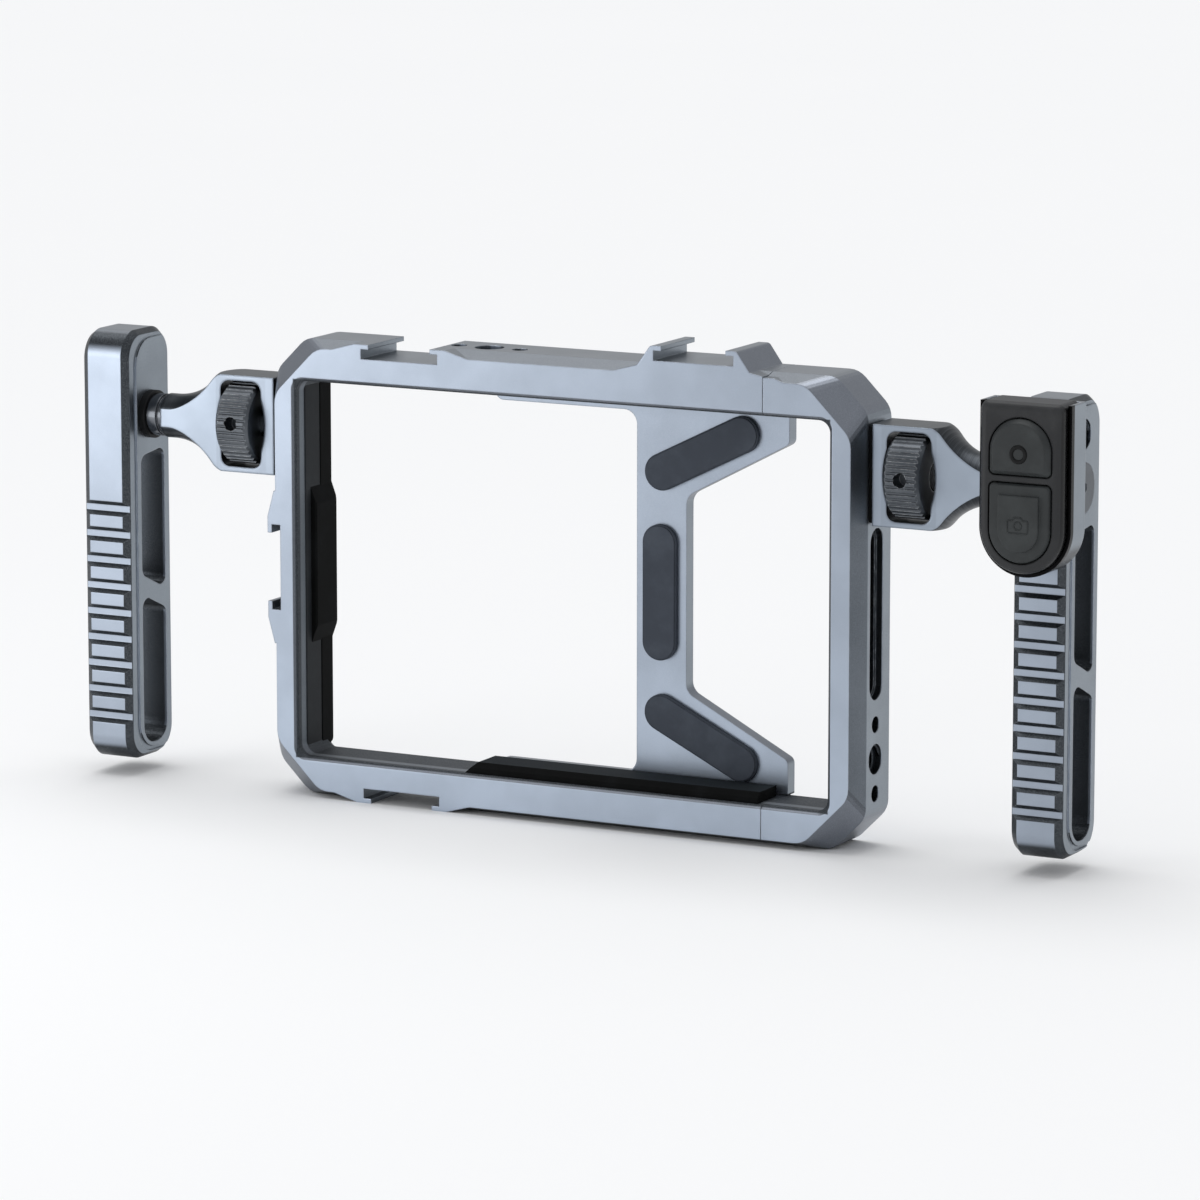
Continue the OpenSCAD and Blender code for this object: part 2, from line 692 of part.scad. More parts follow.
// K shaped plate with a long flange along each rail
module plate_outline() {
  r = plate_round;
  right = seam_x + plate_over;
  flange_right = main_end_x - seam_gap;
  out_z = half_in_h + flange_in;
  in_z = half_in_h - slide_gap;
  top = half_in_h - lip_top;
  low = lip_bottom - half_in_h;
  notch = half_in_h - notch_drop;
  mouth = half_in_h - mouth_drop;
  end_r = (flange_in + lip_bottom) / 3;
  polygon(eased([
    [-flange_left_x, out_z, end_r], [flange_right, out_z, 0], [flange_right, in_z, 0],
    [right, in_z, 0], [right, mouth, mouth_round],
    [notch_x, notch, r], [notch_x, -notch, r],
    [right, -mouth, mouth_round], [right, -in_z, 0], [flange_right, -in_z, 0],
    [flange_right, -out_z, 0], [-flange_left_x, -out_z, end_r],
    [-flange_left_x, low, end_r], [plate_left_x, low, r],
    [plate_left_x, top, r], [-flange_left_x, top, end_r]]));
}

plate_screw_xs = [-flange_left_x + 4 * plate_screw_head_r, plate_left_x, seam_x - 4 * lock_head_r];
plate_screw_z = half_in_h + flange_in / 2;
plate_screw_r = 0.8;
plate_screw_l = 6;
plate_screw_head_t = 1;

module plate_screw_shapes(shank_r, head_r, head_top) {
  for (x = plate_screw_xs, s = [-1, 1])
    translate([x, 0, mid_z + s * plate_screw_z]) {
      rod_y_axis(plate_back - plate_screw_l, plate_screw_l, shank_r);
      rod_y_axis(plate_back - plate_screw_head_t, plate_screw_head_t + head_top, head_r);
    }
}

module plate_screw_holes(gap) {
  for (x = plate_screw_xs, s = [-1, 1])
    translate([x, 0, mid_z + s * plate_screw_z])
      rod_y_axis(plate_back - plate_screw_l, plate_screw_l, plate_screw_r + gap);
}

module back_plate() {
  color([0.6, 0.63, 0.68])
  difference() {
    translate([0, 0, mid_z]) along_y(plate_front, plate_t) plate_outline();
    plate_screw_shapes(plate_screw_r + fix_gap, plate_screw_head_r + fix_gap, cut);
    for (s = [-1, 1])
      translate([seam_x - lock_x, 0, mid_z + s * (mid_z - rod_inset)])
        rod_y_axis(plate_front - cut, plate_t + 2 * cut, lock_r + 2 * run_gap);
  }
}

module back_plate_screws() {
  color([0.3, 0.32, 0.35])
  difference() {
    plate_screw_shapes(plate_screw_r, plate_screw_head_r, 0);
    for (x = plate_screw_xs, s = [-1, 1])
      translate([x, 0, mid_z + s * plate_screw_z])
        rod_y_axis(plate_back - plate_screw_head_t / 2, plate_screw_head_t, plate_screw_r);
  }
}

module back_pad(p, q) {
  color([0.25, 0.28, 0.32])
  translate([0, 0, mid_z]) {
    along_y(plate_front - pad_t + pad_edge, pad_t - pad_edge) stadium(p, q, pad_half_w);
    along_y(plate_front - pad_t, pad_edge) stadium(p, q, pad_half_w - pad_edge);
  }
}
pad_edge = 0.3;

module upper_back_pad() {
  back_pad([pad_in_x, pad_in_z], [pad_out_x, pad_out_z]);
}

module middle_back_pad() {
  back_pad([pad_mid_x, -pad_mid_half], [pad_mid_x, pad_mid_half]);
}

module lower_back_pad() {
  back_pad([pad_in_x, -pad_in_z], [pad_out_x, -pad_out_z]);
}

// Rubber pad on an end wall, fitted to the flare at the back
module end_pad(z0, h) {
  y0 = front_y + end_pad_y;
  y1 = half_d - flare_d;
  y2 = half_d - pad_edge;
  out = flare_out * (y2 - y1) / flare_d;
  intersection() {
    translate([0, 0, z0]) linear_extrude(height = h)
      polygon([[0, y0], [end_pad_t - pad_edge, y0], [end_pad_t, y0 + pad_edge],
        [end_pad_t, y2 - pad_edge], [end_pad_t - pad_edge, y2], [-out, y2], [0, y1]]);
    along_y(y0 - cut, cage_d)
      polygon([[-flare_out - cut, z0], [0, z0], [end_pad_t, z0 + end_pad_slope],
        [end_pad_t, z0 + h - end_pad_slope], [0, z0 + h], [-flare_out - cut, z0 + h]]);
  }
}

module left_end_pad() {
  color([0.12, 0.12, 0.13])
  translate([-half_in_l, 0, 0]) end_pad(mid_z - end_pad_half, 2 * end_pad_half);
}

right_pad_h = half_in_h - right_pad_drop - slot_half - right_pad_gap;

module upper_right_end_pad() {
  color([0.12, 0.12, 0.13])
  translate([half_in_l, 0, 0]) mirror([1, 0, 0]) end_pad(mid_z + slot_half + right_pad_gap, right_pad_h);
}

module lower_right_end_pad() {
  color([0.12, 0.12, 0.13])
  translate([half_in_l, 0, 0]) mirror([1, 0, 0])
    end_pad(mid_z - slot_half - right_pad_gap - right_pad_h, right_pad_h);
}

// Rubber along the bottom rail, its back edge just in front of the plate's pads
module bottom_rail_pad() {
  x0 = -rail_pad_left_x;
  x1 = main_end_x - rail_pad_t / 2;
  y0 = front_y + mouth_chamfer + pad_edge;
  y1 = plate_front - pad_t - pad_edge;
  color([0.12, 0.12, 0.13])
  translate([0, 0, rail_t]) intersection() {
    along_y(y0, y1 - y0)
      polygon([[x0, 0], [x1, 0], [x1, rail_pad_t], [x0 + rail_pad_slope, rail_pad_t]]);
    along_x(x0, x1 - x0)
      polygon([[y0, 0], [y1, 0], [y1, rail_pad_t], [y0 + rail_pad_t / 2, rail_pad_t], [y0, rail_pad_t / 2]]);
  }
}

// Arm, drawn to the right of a wall at x = 0 with its axis on the X axis
module window_outline() {
  translate([window_x + window_l / 2, 0]) {
    eased_rect(window_l, window_h, window_round);
    for (s = [0, 1])
      mirror([s, 0]) intersection() {
        translate([window_l / 2 + window_bulge - window_bulge_r, 0]) circle(r = window_bulge_r, $fn = 128);
        translate([0, -window_h / 3]) square([window_l, 2 * window_h / 3]);
      }
  }
}

// The turned profile: a foot, a convex shoulder, a hollow flare and the plain neck.
// Shoulder and flare are two arcs that touch on the line between their centres.
foot_r = norm([foot_h / 2, max(arm_front, arm_back)]);
flare_end = arm_l - neck_l;
flare_mid_r = neck_r + flare_r;
shoulder_mid_r = foot_r - shoulder_r;
shoulder_rise = flare_mid_r - shoulder_mid_r;
shoulder_x = flare_end - sqrt(pow(flare_r + shoulder_r, 2) - pow(shoulder_rise, 2));
lean = atan2(shoulder_rise, flare_end - shoulder_x);
flare_steps = 24;
shoulder_steps = 8;

// Points of an arc in the turning plane, each [distance from the axis, place along it]
function turned_arc(mid_r, x, r, a0, a1, steps) =
  [for (i = [0 : steps])
    let (a = a0 + (a1 - a0) * i / steps)
    [mid_r + r * sin(a), x + r * cos(a)]];

module arm_turned() {
  rotate([0, 90, 0]) rotate_extrude($fn = 72)
    polygon(concat([[0, 0], [foot_r, 0]],
      turned_arc(shoulder_mid_r, shoulder_x, shoulder_r, 90, lean, shoulder_steps),
      turned_arc(flare_mid_r, flare_end, flare_r, lean + 180, 270, flare_steps),
      [[neck_r, arm_l], [0, arm_l]]));
}

module arm_shape() {
  difference() {
    intersection() {
      arm_turned();
      translate([0, -arm_front, -foot_h]) cube([arm_l, arm_front + arm_back, 2 * foot_h]);
      foot_block();
    }
    along_y(-foot_h, 2 * foot_h) window_outline();
    rod_x(-cut, window_x + 2 * cut, clamp_screw_r + 2 * run_gap);
    for (s = [-1, 1])
      translate([0, 0, s * locate_pitch]) rod_x(-cut, foot_pad_t + pin_in + cut, pin_r + fix_gap);
    rod_x(arm_l - bolt_in, bolt_in + cut, bolt_r + fix_gap);
  }
}

module foot_block() {
  translate([foot_pad_t, -foot_h, -foot_h / 2]) cube([arm_l, 2 * foot_h, foot_h]);
}
clamp_screw_r = camera_r - run_gap;
pin_r = locate_r - run_gap;

module foot_pad_shape() {
  h = foot_h - 2 * foot_pad_margin;
  w = arm_front + arm_back - 2 * foot_pad_margin;
  color([0.12, 0.12, 0.13])
  difference() {
    translate([0, (arm_back - arm_front) / 2, 0]) along_x(0, foot_pad_t) eased_rect(w, h, foot_round);
    rod_x(-cut, foot_pad_t + 2 * cut, clamp_screw_r + 4 * run_gap);
    for (s = [-1, 1])
      translate([0, 0, s * locate_pitch]) rod_x(-cut, foot_pad_t + 2 * cut, pin_r + fix_gap);
  }
}

module pins_shape() {
  for (s = [-1, 1])
    translate([0, 0, s * locate_pitch]) {
      rod_x(-pin_out + pin_tip, pin_out - pin_tip + foot_pad_t + pin_in, pin_r);
      translate([-pin_out, 0, 0]) rotate([0, 90, 0]) cylinder(h = pin_tip, r1 = pin_r - pin_tip, r2 = pin_r);
    }
}
pin_tip = 0.5;

module clamp_wheel_shape(turn) {
  rim = wheel_r - wheel_chamfer;
  translate([wheel_x, 0, 0]) difference() {
    union() {
      rotate([0, 90, 0]) cylinder(h = wheel_chamfer, r1 = rim, r2 = wheel_r);
      rod_x(wheel_chamfer, wheel_w - 2 * wheel_chamfer, wheel_r);
      translate([wheel_w - wheel_chamfer, 0, 0]) rotate([0, 90, 0])
        cylinder(h = wheel_chamfer, r1 = wheel_r, r2 = rim);
    }
    for (i = [0 : knurls - 1])
      rotate([i * 360 / knurls, 0, 0]) translate([0, 0, wheel_r])
        rod_x(-cut, wheel_w + 2 * cut, knurl_r, $fn = 16);
    rod_x(-cut, wheel_w + 2 * cut, clamp_screw_r + fix_gap);
    for (i = [0 : 3])
      rotate([i * 90 + turn, 0, 0]) translate([wheel_w / 2, 0, wheel_r - tommy_depth])
        cylinder(h = tommy_depth + cut, r = tommy_r);
  }
}

module clamp_screw_shape() {
  translate([wheel_x, 0, 0]) {
    rod_x(-clamp_reach + pin_tip, clamp_reach - pin_tip + wheel_w, clamp_screw_r);
    translate([-clamp_reach, 0, 0]) rotate([0, 90, 0])
      cylinder(h = pin_tip, r1 = clamp_screw_r - pin_tip, r2 = clamp_screw_r);
  }
}

module spacer_shape() {
  difference() {
    union() {
      rod_x(arm_l, spacer_l, spacer_r - relief_depth);
      rod_x(arm_l + relief_l, spacer_l - relief_l, spacer_r);
    }
    rod_x(arm_l - cut, spacer_l + 2 * cut, bolt_r + fix_gap);
  }
}

module pivot_bolt_shape() {
  head_x = grip_out_x - bolt_head_t;
  difference() {
    union() {
      rod_x(arm_l - bolt_in, head_x - arm_l + bolt_in, bolt_r);
      rod_x(head_x, bolt_head_t, bolt_head_r);
    }
    translate([grip_out_x - bolt_head_t / 2, 0, 0]) rotate([0, 90, 0])
      linear_extrude(height = bolt_head_t) hexagon(socket_af);
  }
}

module hexagon(af) {
  intersection_for (a = [0, 60, 120]) rotate(a) square([2 * af, af], center = true);
}

module bush_shape() {
  x0 = grip_foot_x - bush_flange_t;
  difference() {
    union() {
      rod_x(x0, bush_flange_t, bush_flange_r);
      rod_x(x0, bush_flange_t + bush_l, bush_r);
    }
    rod_x(x0 - cut, bush_flange_t + bush_l + 2 * cut, bolt_r + run_gap);
  }
}

// Grip, hanging on the swivel axis, its mid depth grip_shift in front of it
module grip_outline() {
  translate([-grip_shift, grip_top - grip_h / 2]) eased_rect(grip_d, grip_h, grip_round);
}

module grip_slab(back) {
  s = [(grip_d - 2 * grip_bevel_y) / grip_d, (grip_h - 2 * grip_bevel_y) / grip_h];
  translate([0, -grip_shift, grip_top - grip_h / 2]) mirror([back, 0, 0]) rotate([90, 0, 90])
    linear_extrude(height = grip_bevel_x, scale = s, slices = 1) eased_rect(grip_d, grip_h, grip_round);
}

module grip_groove() {
  f = -grip_shift - grip_d / 2;
  w = groove_floor / 2;
  polygon([[f - cut, w + groove_depth + cut], [f + groove_depth, w],
    [f + groove_depth, -w], [f - cut, -w - groove_depth - cut]]);
}

module grip_line_outline() {
  f = -grip_shift - grip_d / 2 + line_y;
  top = grip_top - line_end;
  low = grip_top - grip_h + line_end;
  w = line_w / 2;
  r = line_round;
  difference() {
    polygon(eased([[f, low, r], [f, top, r], [grip_d, top, 0], [grip_d, low, 0]]));
    polygon(eased([[f + line_w, low + w, r], [f + line_w, top - w, r],
      [grip_d + cut, top - w, 0], [grip_d + cut, low + w, 0]]));
  }
}

module grip_windows_outline() {
  f = -grip_shift - grip_d / 2 + hole_front;
  b = f + hole_w;
  r = window_round;
  low = grip_top - grip_h + grip_floor;
  polygon(eased([[f, -hole_top_drop - r / 2, r], [b, -hole_top_drop, r],
    [b, -web_drop - web_fall, r], [f, -web_drop, r]]));
  polygon(eased([[f, -web_drop - web_t, r], [b, -web_drop - web_t - web_fall, r],
    [b, low, 2 * r], [f, low, 2 * r]]));
}

module grip_shape() {
  mid = grip_w - 2 * grip_bevel_x;
  translate([grip_foot_x, 0, 0]) difference() {
    union() {
      along_x(grip_bevel_x, mid) grip_outline();
      translate([grip_bevel_x + mid, 0, 0]) grip_slab(0);
      translate([grip_bevel_x, 0, 0]) grip_slab(1);
    }
    for (i = [0 : grooves - 1])
      translate([0, 0, -groove_drop - i * groove_pitch]) along_x(-cut, grip_w + 2 * cut) grip_groove();
    along_x(-cut, cut + line_depth) grip_line_outline();
    along_x(grip_w - line_depth, cut + line_depth) grip_line_outline();
    along_x(-cut, grip_w + 2 * cut) grip_windows_outline();
    rod_x(-cut, grip_w + 2 * cut, bolt_r + run_gap);
    rod_x(-cut, bush_l + cut, bush_r + fix_gap);
    rod_x(grip_w - bolt_head_t - run_gap, bolt_head_t + run_gap + cut, bolt_head_r + run_gap);
    translate([0, 0, grip_hole_rise]) rod_x(grip_w - grip_hole_depth, grip_hole_depth + cut, camera_r);
  }
}

module on_left() {
  translate([-half_l, side_y, arm_z]) mirror([1, 0, 0]) children();
}

module on_right() {
  translate([half_l, side_y, arm_z]) children();
}

module left_arm() {
  color([0.68, 0.7, 0.74]) on_left() arm_shape();
}

module right_arm() {
  color([0.68, 0.7, 0.74]) on_right() arm_shape();
}

module left_clamp_wheel() {
  color([0.35, 0.36, 0.38]) on_left() clamp_wheel_shape(left_turn);
}

module right_clamp_wheel() {
  color([0.35, 0.36, 0.38]) on_right() clamp_wheel_shape(right_turn);
}

module left_clamp_screw() {
  color([0.5, 0.51, 0.53]) on_left() clamp_screw_shape();
}

module right_clamp_screw() {
  color([0.5, 0.51, 0.53]) on_right() clamp_screw_shape();
}

module left_locating_pins() {
  color([0.5, 0.51, 0.53]) on_left() pins_shape();
}

module right_locating_pins() {
  color([0.5, 0.51, 0.53]) on_right() pins_shape();
}

module left_swivel_spacer() {
  color([0.8, 0.81, 0.82]) on_left() spacer_shape();
}

module right_swivel_spacer() {
  color([0.8, 0.81, 0.82]) on_right() spacer_shape();
}

module left_pivot_bolt() {
  color([0.3, 0.33, 0.37]) on_left() pivot_bolt_shape();
}

module right_pivot_bolt() {
  color([0.3, 0.33, 0.37]) on_right() pivot_bolt_shape();
}

module left_swivel_bush() {
  color([0.15, 0.16, 0.17]) on_left() bush_shape();
}

module right_swivel_bush() {
  color([0.15, 0.16, 0.17]) on_right() bush_shape();
}

module left_grip() {
  color([0.62, 0.65, 0.7]) on_left() grip_shape();
}

module right_grip() {
  color([0.62, 0.65, 0.7])
  difference() {
    on_right() grip_shape();
    cradle_screw_shapes(fix_gap);
  }
}

// Remote, its top open in the cradle, its foot fully round
module remote_outline(grow) {
  r = remote_w / 2 + grow;
  translate([0, remote_w / 2]) {
    circle(r = r);
    translate([-r, 0]) square([2 * r, remote_h - remote_w / 2]);
  }
}

// The case's own outline, its top corners rounded
module case_outline() {
  r = remote_w / 2;
  translate([0, r]) circle(r = r);
  translate([-r, r]) square([2 * r, remote_h - r - case_corner]);
  translate([case_corner - r, r]) square([2 * (r - case_corner), remote_h - r]);
  for (s = [-1, 1])
    translate([s * (r - case_corner), remote_h - case_corner]) circle(r = case_corner);
}

// Front of the case: thin slices, each drawn in a little more along a quarter round
module case_front() {
  hull() for (i = [0 : round_steps]) {
    a = 90 * i / round_steps;
    d = case_round * (1 - cos(a));
    translate([0, 0, remote_h / 2])
      along_y(remote_front + (case_round - front_land) * (1 - sin(a)), front_land)
      scale([1 - 2 * d / remote_w, 1 - 2 * d / remote_h]) translate([0, -remote_h / 2]) case_outline();
  }
}
round_steps = 4;

module at_remote() {
  translate([remote_x, 0, remote_foot_z]) children();
}

cradle_screw_zs = [remote_h / 3, 2 * remote_h / 3];
cradle_screw_head_r = 2 * cradle_screw_r;
cradle_screw_head_t = cradle_floor_t / 2;

module cradle_screw_shapes(gap) {
  at_remote() for (z = cradle_screw_zs)
    translate([0, 0, z]) {
      rod_y_axis(cradle_floor_y, cradle_screw_l, cradle_screw_r + gap);
      rod_y_axis(cradle_floor_y - gap * cut, cradle_screw_head_t + gap * cut, cradle_screw_head_r + gap);
    }
}

module cradle_screws() {
  color([0.3, 0.32, 0.35])
  difference() {
    cradle_screw_shapes(0);
    at_remote() for (z = cradle_screw_zs)
      translate([0, 0, z]) rod_y_axis(cradle_floor_y - cut, cradle_screw_head_t / 2 + cut, cradle_screw_r);
  }
}

module remote_cradle() {
  front = grip_front - cradle_d;
  color([0.6, 0.63, 0.68])
  difference() {
    at_remote() difference() {
      along_y(front, cradle_d) remote_outline(cradle_rim_t + slide_gap);
      along_y(front - cut, cradle_d - cradle_floor_t + cut) remote_outline(slide_gap);
      translate([-remote_w, front - cut, cradle_top]) cube([2 * remote_w, cradle_d + 2 * cut, remote_h]);
      translate([-remote_w / 2 - slide_gap, front - cut, remote_h / 2])
        cube([remote_w + 2 * slide_gap, cradle_d - cradle_floor_t + cut, remote_h]);
    }
    cradle_screw_shapes(fix_gap);
  }
}
cradle_top = remote_h - cradle_drop;

module remote_case() {
  depth = remote_d - cover_t;
  back = remote_back - cover_t;
  color([0.1, 0.1, 0.11])
  at_remote() difference() {
    union() {
      along_y(remote_front + case_round, depth - case_round) case_outline();
      case_front();
    }
    intersection() {
      along_y(remote_front + case_t, depth) remote_outline(-case_t);
      translate([-remote_w, remote_front, 0]) cube([2 * remote_w, 2 * remote_d, remote_h - case_t]);
    }
    along_y(remote_front - cut, case_t + 2 * cut) upper_button_outline(button_w / 2 + button_gap);
    along_y(remote_front - cut, case_t + 2 * cut) lower_button_outline(button_w / 2 + button_gap);
  }
}

// Both buttons share a width; the upper is round at its top, the lower at its foot.
// The outline runs from a round end at zero to two small corners at h, and r is its half width.
module button_outline(r, h) {
  c = max(least_corner, button_corner + r - button_w / 2);
  intersection() {
    circle(r = r);
    translate([-r, -r]) square([2 * r, r + h]);
  }
  translate([-r, 0]) square([2 * r, h - c]);
  translate([c - r, 0]) square([2 * (r - c), h]);
  for (s = [-1, 1])
    translate([s * (r - c), h - c]) circle(r = c);
}
least_corner = 0.2;

module upper_button_outline(r) {
  grow = r - button_w / 2;
  h = upper_button_h - button_w / 2;
  translate([0, upper_button_z + h]) mirror([0, 1]) button_outline(r, h + grow);
}

module lower_button_outline(r) {
  grow = r - button_w / 2;
  translate([0, lower_button_z + button_w / 2])
    button_outline(r, lower_button_h - button_w / 2 + grow);
}

// Outline pushed forwards from the case front, drawn in evenly from w0 to w1
module button_block(h, w0, w1, mid) {
  translate([0, remote_front, mid]) rotate([90, 0, 0])
    linear_extrude(height = h, scale = w1 / w0, slices = 1) translate([0, -mid]) children();
}

module upper_button() {
  mid = upper_button_z + upper_button_h / 2;
  color([0.14, 0.15, 0.15])
  at_remote() {
    button_block(button_out, button_w, button_top_w, mid) upper_button_outline(button_w / 2);
    along_y(remote_front, case_t + button_gap) upper_button_outline(button_w / 2);
    button_ledge_shape() upper_button_outline(button_w / 2 + button_ledge);
    button_stem(mid);
  }
}

module lower_button() {
  mid = lower_button_z + lower_button_h / 2;
  rim_h = button_out - step_h;
  field_w = button_w - 2 * step_margin;
  color([0.14, 0.15, 0.15])
  at_remote() {
    button_block(rim_h, button_w, button_w - rim_h, mid) lower_button_outline(button_w / 2);
    button_block(button_out, field_w, field_w - rim_h, mid) lower_button_outline(field_w / 2);
    along_y(remote_front, case_t + button_gap) lower_button_outline(button_w / 2);
    button_ledge_shape() lower_button_outline(button_w / 2 + button_ledge);
    button_stem(mid);
  }
}

module button_ledge_shape() {
  along_y(remote_front + case_t + button_gap / 2, button_ledge_t) children();
}

module button_stem(mid) {
  y0 = remote_front + case_t;
  translate([0, 0, mid]) rod_y_axis(y0, button_back - y0, switch_r);
}

module remote_back_cover() {
  color([0.1, 0.1, 0.11])
  at_remote() along_y(remote_back - cover_t, cover_t) case_outline();
}

module remote_circuit_board() {
  color([0.1, 0.35, 0.2])
  at_remote() {
    intersection() {
      along_y(board_y, board_t) remote_outline(-case_t - button_gap);
      translate([-remote_w, board_y - cut, 0]) cube([2 * remote_w, remote_d, remote_h - case_t - button_gap]);
    }
  }
}

module remote_button_cell() {
  color([0.75, 0.76, 0.78])
  at_remote() translate([0, 0, remote_w / 2]) rod_y_axis(board_y + board_t, cell_t, cell_r);
}

module upper_guide_rod() guide_rod(rod_z_top);
module lower_guide_rod() guide_rod(rod_inset);
module upper_lock_screw() lock_screw(rod_z_top);
module lower_lock_screw() lock_screw(rod_inset);
module left_foot_pad() on_left() foot_pad_shape();
module right_foot_pad() on_right() foot_pad_shape();

main_frame();
end_frame();
upper_guide_rod();
lower_guide_rod();
upper_lock_screw();
lower_lock_screw();
back_plate();
back_plate_screws();
upper_back_pad();
middle_back_pad();
lower_back_pad();
left_end_pad();
bottom_rail_pad();
upper_right_end_pad();
lower_right_end_pad();
left_arm();
left_foot_pad();
left_locating_pins();
left_clamp_wheel();
left_clamp_screw();
left_swivel_spacer();
left_pivot_bolt();
left_swivel_bush();
left_grip();
right_arm();
right_foot_pad();
right_locating_pins();
right_clamp_wheel();
right_clamp_screw();
right_swivel_spacer();
right_pivot_bolt();
right_swivel_bush();
right_grip();
remote_cradle();
cradle_screws();
remote_case();
remote_back_cover();
remote_circuit_board();
remote_button_cell();
upper_button();
lower_button();
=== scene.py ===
# %% [markdown]
# # A phone rig for video, dressed for the camera
# The CAD frame already has every part of the rig in its true shape, place and size.
# What is left for Blender is the finish: blasted and anodised aluminium, turned arms,
# blackened wheels, rubber, the remote's plastic, and the small things that CAD leaves plain,
# such as screw threads, cross recesses and the signs on the buttons.

# %% load the CAD frame
import json
import math

import bmesh
import bpy
from mathutils import Matrix, Vector


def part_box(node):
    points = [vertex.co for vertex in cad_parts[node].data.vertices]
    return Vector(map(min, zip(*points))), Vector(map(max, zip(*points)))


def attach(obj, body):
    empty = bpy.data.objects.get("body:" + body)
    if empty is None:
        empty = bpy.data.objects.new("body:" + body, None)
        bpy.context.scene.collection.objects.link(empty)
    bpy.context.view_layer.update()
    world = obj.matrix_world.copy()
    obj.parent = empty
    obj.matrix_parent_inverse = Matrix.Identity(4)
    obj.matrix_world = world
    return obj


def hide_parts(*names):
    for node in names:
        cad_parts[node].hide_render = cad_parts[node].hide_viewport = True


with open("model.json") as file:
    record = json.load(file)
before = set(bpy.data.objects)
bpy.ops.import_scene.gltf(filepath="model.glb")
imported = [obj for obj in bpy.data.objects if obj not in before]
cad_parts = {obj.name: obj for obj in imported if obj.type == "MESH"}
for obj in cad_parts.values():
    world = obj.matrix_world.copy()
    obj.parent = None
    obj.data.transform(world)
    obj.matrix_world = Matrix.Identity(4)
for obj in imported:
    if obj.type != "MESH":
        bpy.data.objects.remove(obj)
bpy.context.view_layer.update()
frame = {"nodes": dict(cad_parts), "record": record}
nodes = frame["nodes"]
MM = 0.001

# %% [markdown]
# ## Camera
# The photograph was taken from the right and a little above, with a long lens: the far rail
# is hardly smaller than the near one. A long lens far away gives the same calm perspective.
# The camera is placed by two angles round a point in the middle of the rig, and the same
# direction turns it to look back at that point.

# %% camera
YAW, PITCH = math.radians(27.64), math.radians(10.18)
TARGET = Vector((0.0104, -0.0077, 0.0487))
DISTANCE = 1.314
FOCAL_LENGTH, SENSOR_WIDTH = 189.7, 36


def link(thing):
    """Puts a new object in the scene."""
    bpy.context.scene.collection.objects.link(thing)
    return thing


back = Vector((math.sin(YAW) * math.cos(PITCH), -math.cos(YAW) * math.cos(PITCH), math.sin(PITCH)))
lens = bpy.data.cameras.new("studio_camera")
lens.lens, lens.sensor_width = FOCAL_LENGTH, SENSOR_WIDTH
camera = link(bpy.data.objects.new("studio_camera", lens))
camera.location = TARGET + back * DISTANCE
camera.rotation_euler = back.to_track_quat("Z", "Y").to_euler()
bpy.context.scene.camera = camera
bpy.context.scene.view_settings.view_transform = "Standard"
print("camera at", [round(v, 3) for v in camera.location], "lens", lens.lens)

# %% [markdown]
# ## Floor
# The rig stands on a pale studio sweep. One square is enough, so large that its far edge
# stays behind the rig from every side.

# %% floor
FLOOR_HALF = 6.0
FLOOR_CORNERS = ((-1, -1), (1, -1), (1, 1), (-1, 1))

floor_mesh = bpy.data.meshes.new("studio_floor")
floor_mesh.from_pydata([(x * FLOOR_HALF, y * FLOOR_HALF, 0) for x, y in FLOOR_CORNERS], [], [(0, 1, 2, 3)])
studio_floor = link(bpy.data.objects.new("studio_floor", floor_mesh))
print("floor:", 2 * FLOOR_HALF, "m square")

# %% [markdown]
# ## Lights
# Metal shows what it mirrors, so the main light is a soft box, not a lamp. It stands close at
# the front left, which makes the left end brighter than the right, as in the photograph. A sun
# with a very wide disc lights the tops without a hard shadow, and the pale air fills the rest.

# %% the soft box
KEY_AT, KEY_AIM = Vector((-0.31, -0.30, 0.103)), Vector((-0.12, 0, 0.04))
KEY_WIDTH, KEY_HEIGHT = 0.22, 0.17
KEY_POWER = 0.27

key_light = bpy.data.lights.new("key_box", "AREA")
key_light.shape = "RECTANGLE"
key_light.size, key_light.size_y = KEY_WIDTH, KEY_HEIGHT
key_light.energy = KEY_POWER
key_box = link(bpy.data.objects.new("key_box", key_light))
key_box.location = KEY_AT
key_box.rotation_euler = (KEY_AT - KEY_AIM).to_track_quat("Z", "Y").to_euler()
key_box.visible_camera = False
print("soft box:", KEY_WIDTH, "by", KEY_HEIGHT, "m, unseen by the camera itself")

# %% the overhead light and the air
OVERHEAD_POWER = 1.3
OVERHEAD_DISC = math.radians(50)
OVERHEAD_TILT = (math.radians(-8), math.radians(-10), 0)
AIR_COLOUR = (0.58, 0.587, 0.6, 1)

overhead = bpy.data.lights.new("overhead", "SUN")
overhead.energy = OVERHEAD_POWER
overhead.angle = OVERHEAD_DISC
overhead_lamp = link(bpy.data.objects.new("overhead", overhead))
overhead_lamp.rotation_euler = OVERHEAD_TILT

world = bpy.data.worlds.new("studio_air")
world.use_nodes = True
world.node_tree.nodes["Background"].inputs["Color"].default_value = AIR_COLOUR
bpy.context.scene.world = world

# %% [markdown]
# ## Shader sums
# A finish is easier to read as a sum than as a list of nodes. A Wire is one socket of a
# material; adding, subtracting or multiplying wires adds the Math nodes, and the one method
# node() makes any other node. Colours go through a Mix node, because Math would turn them grey.

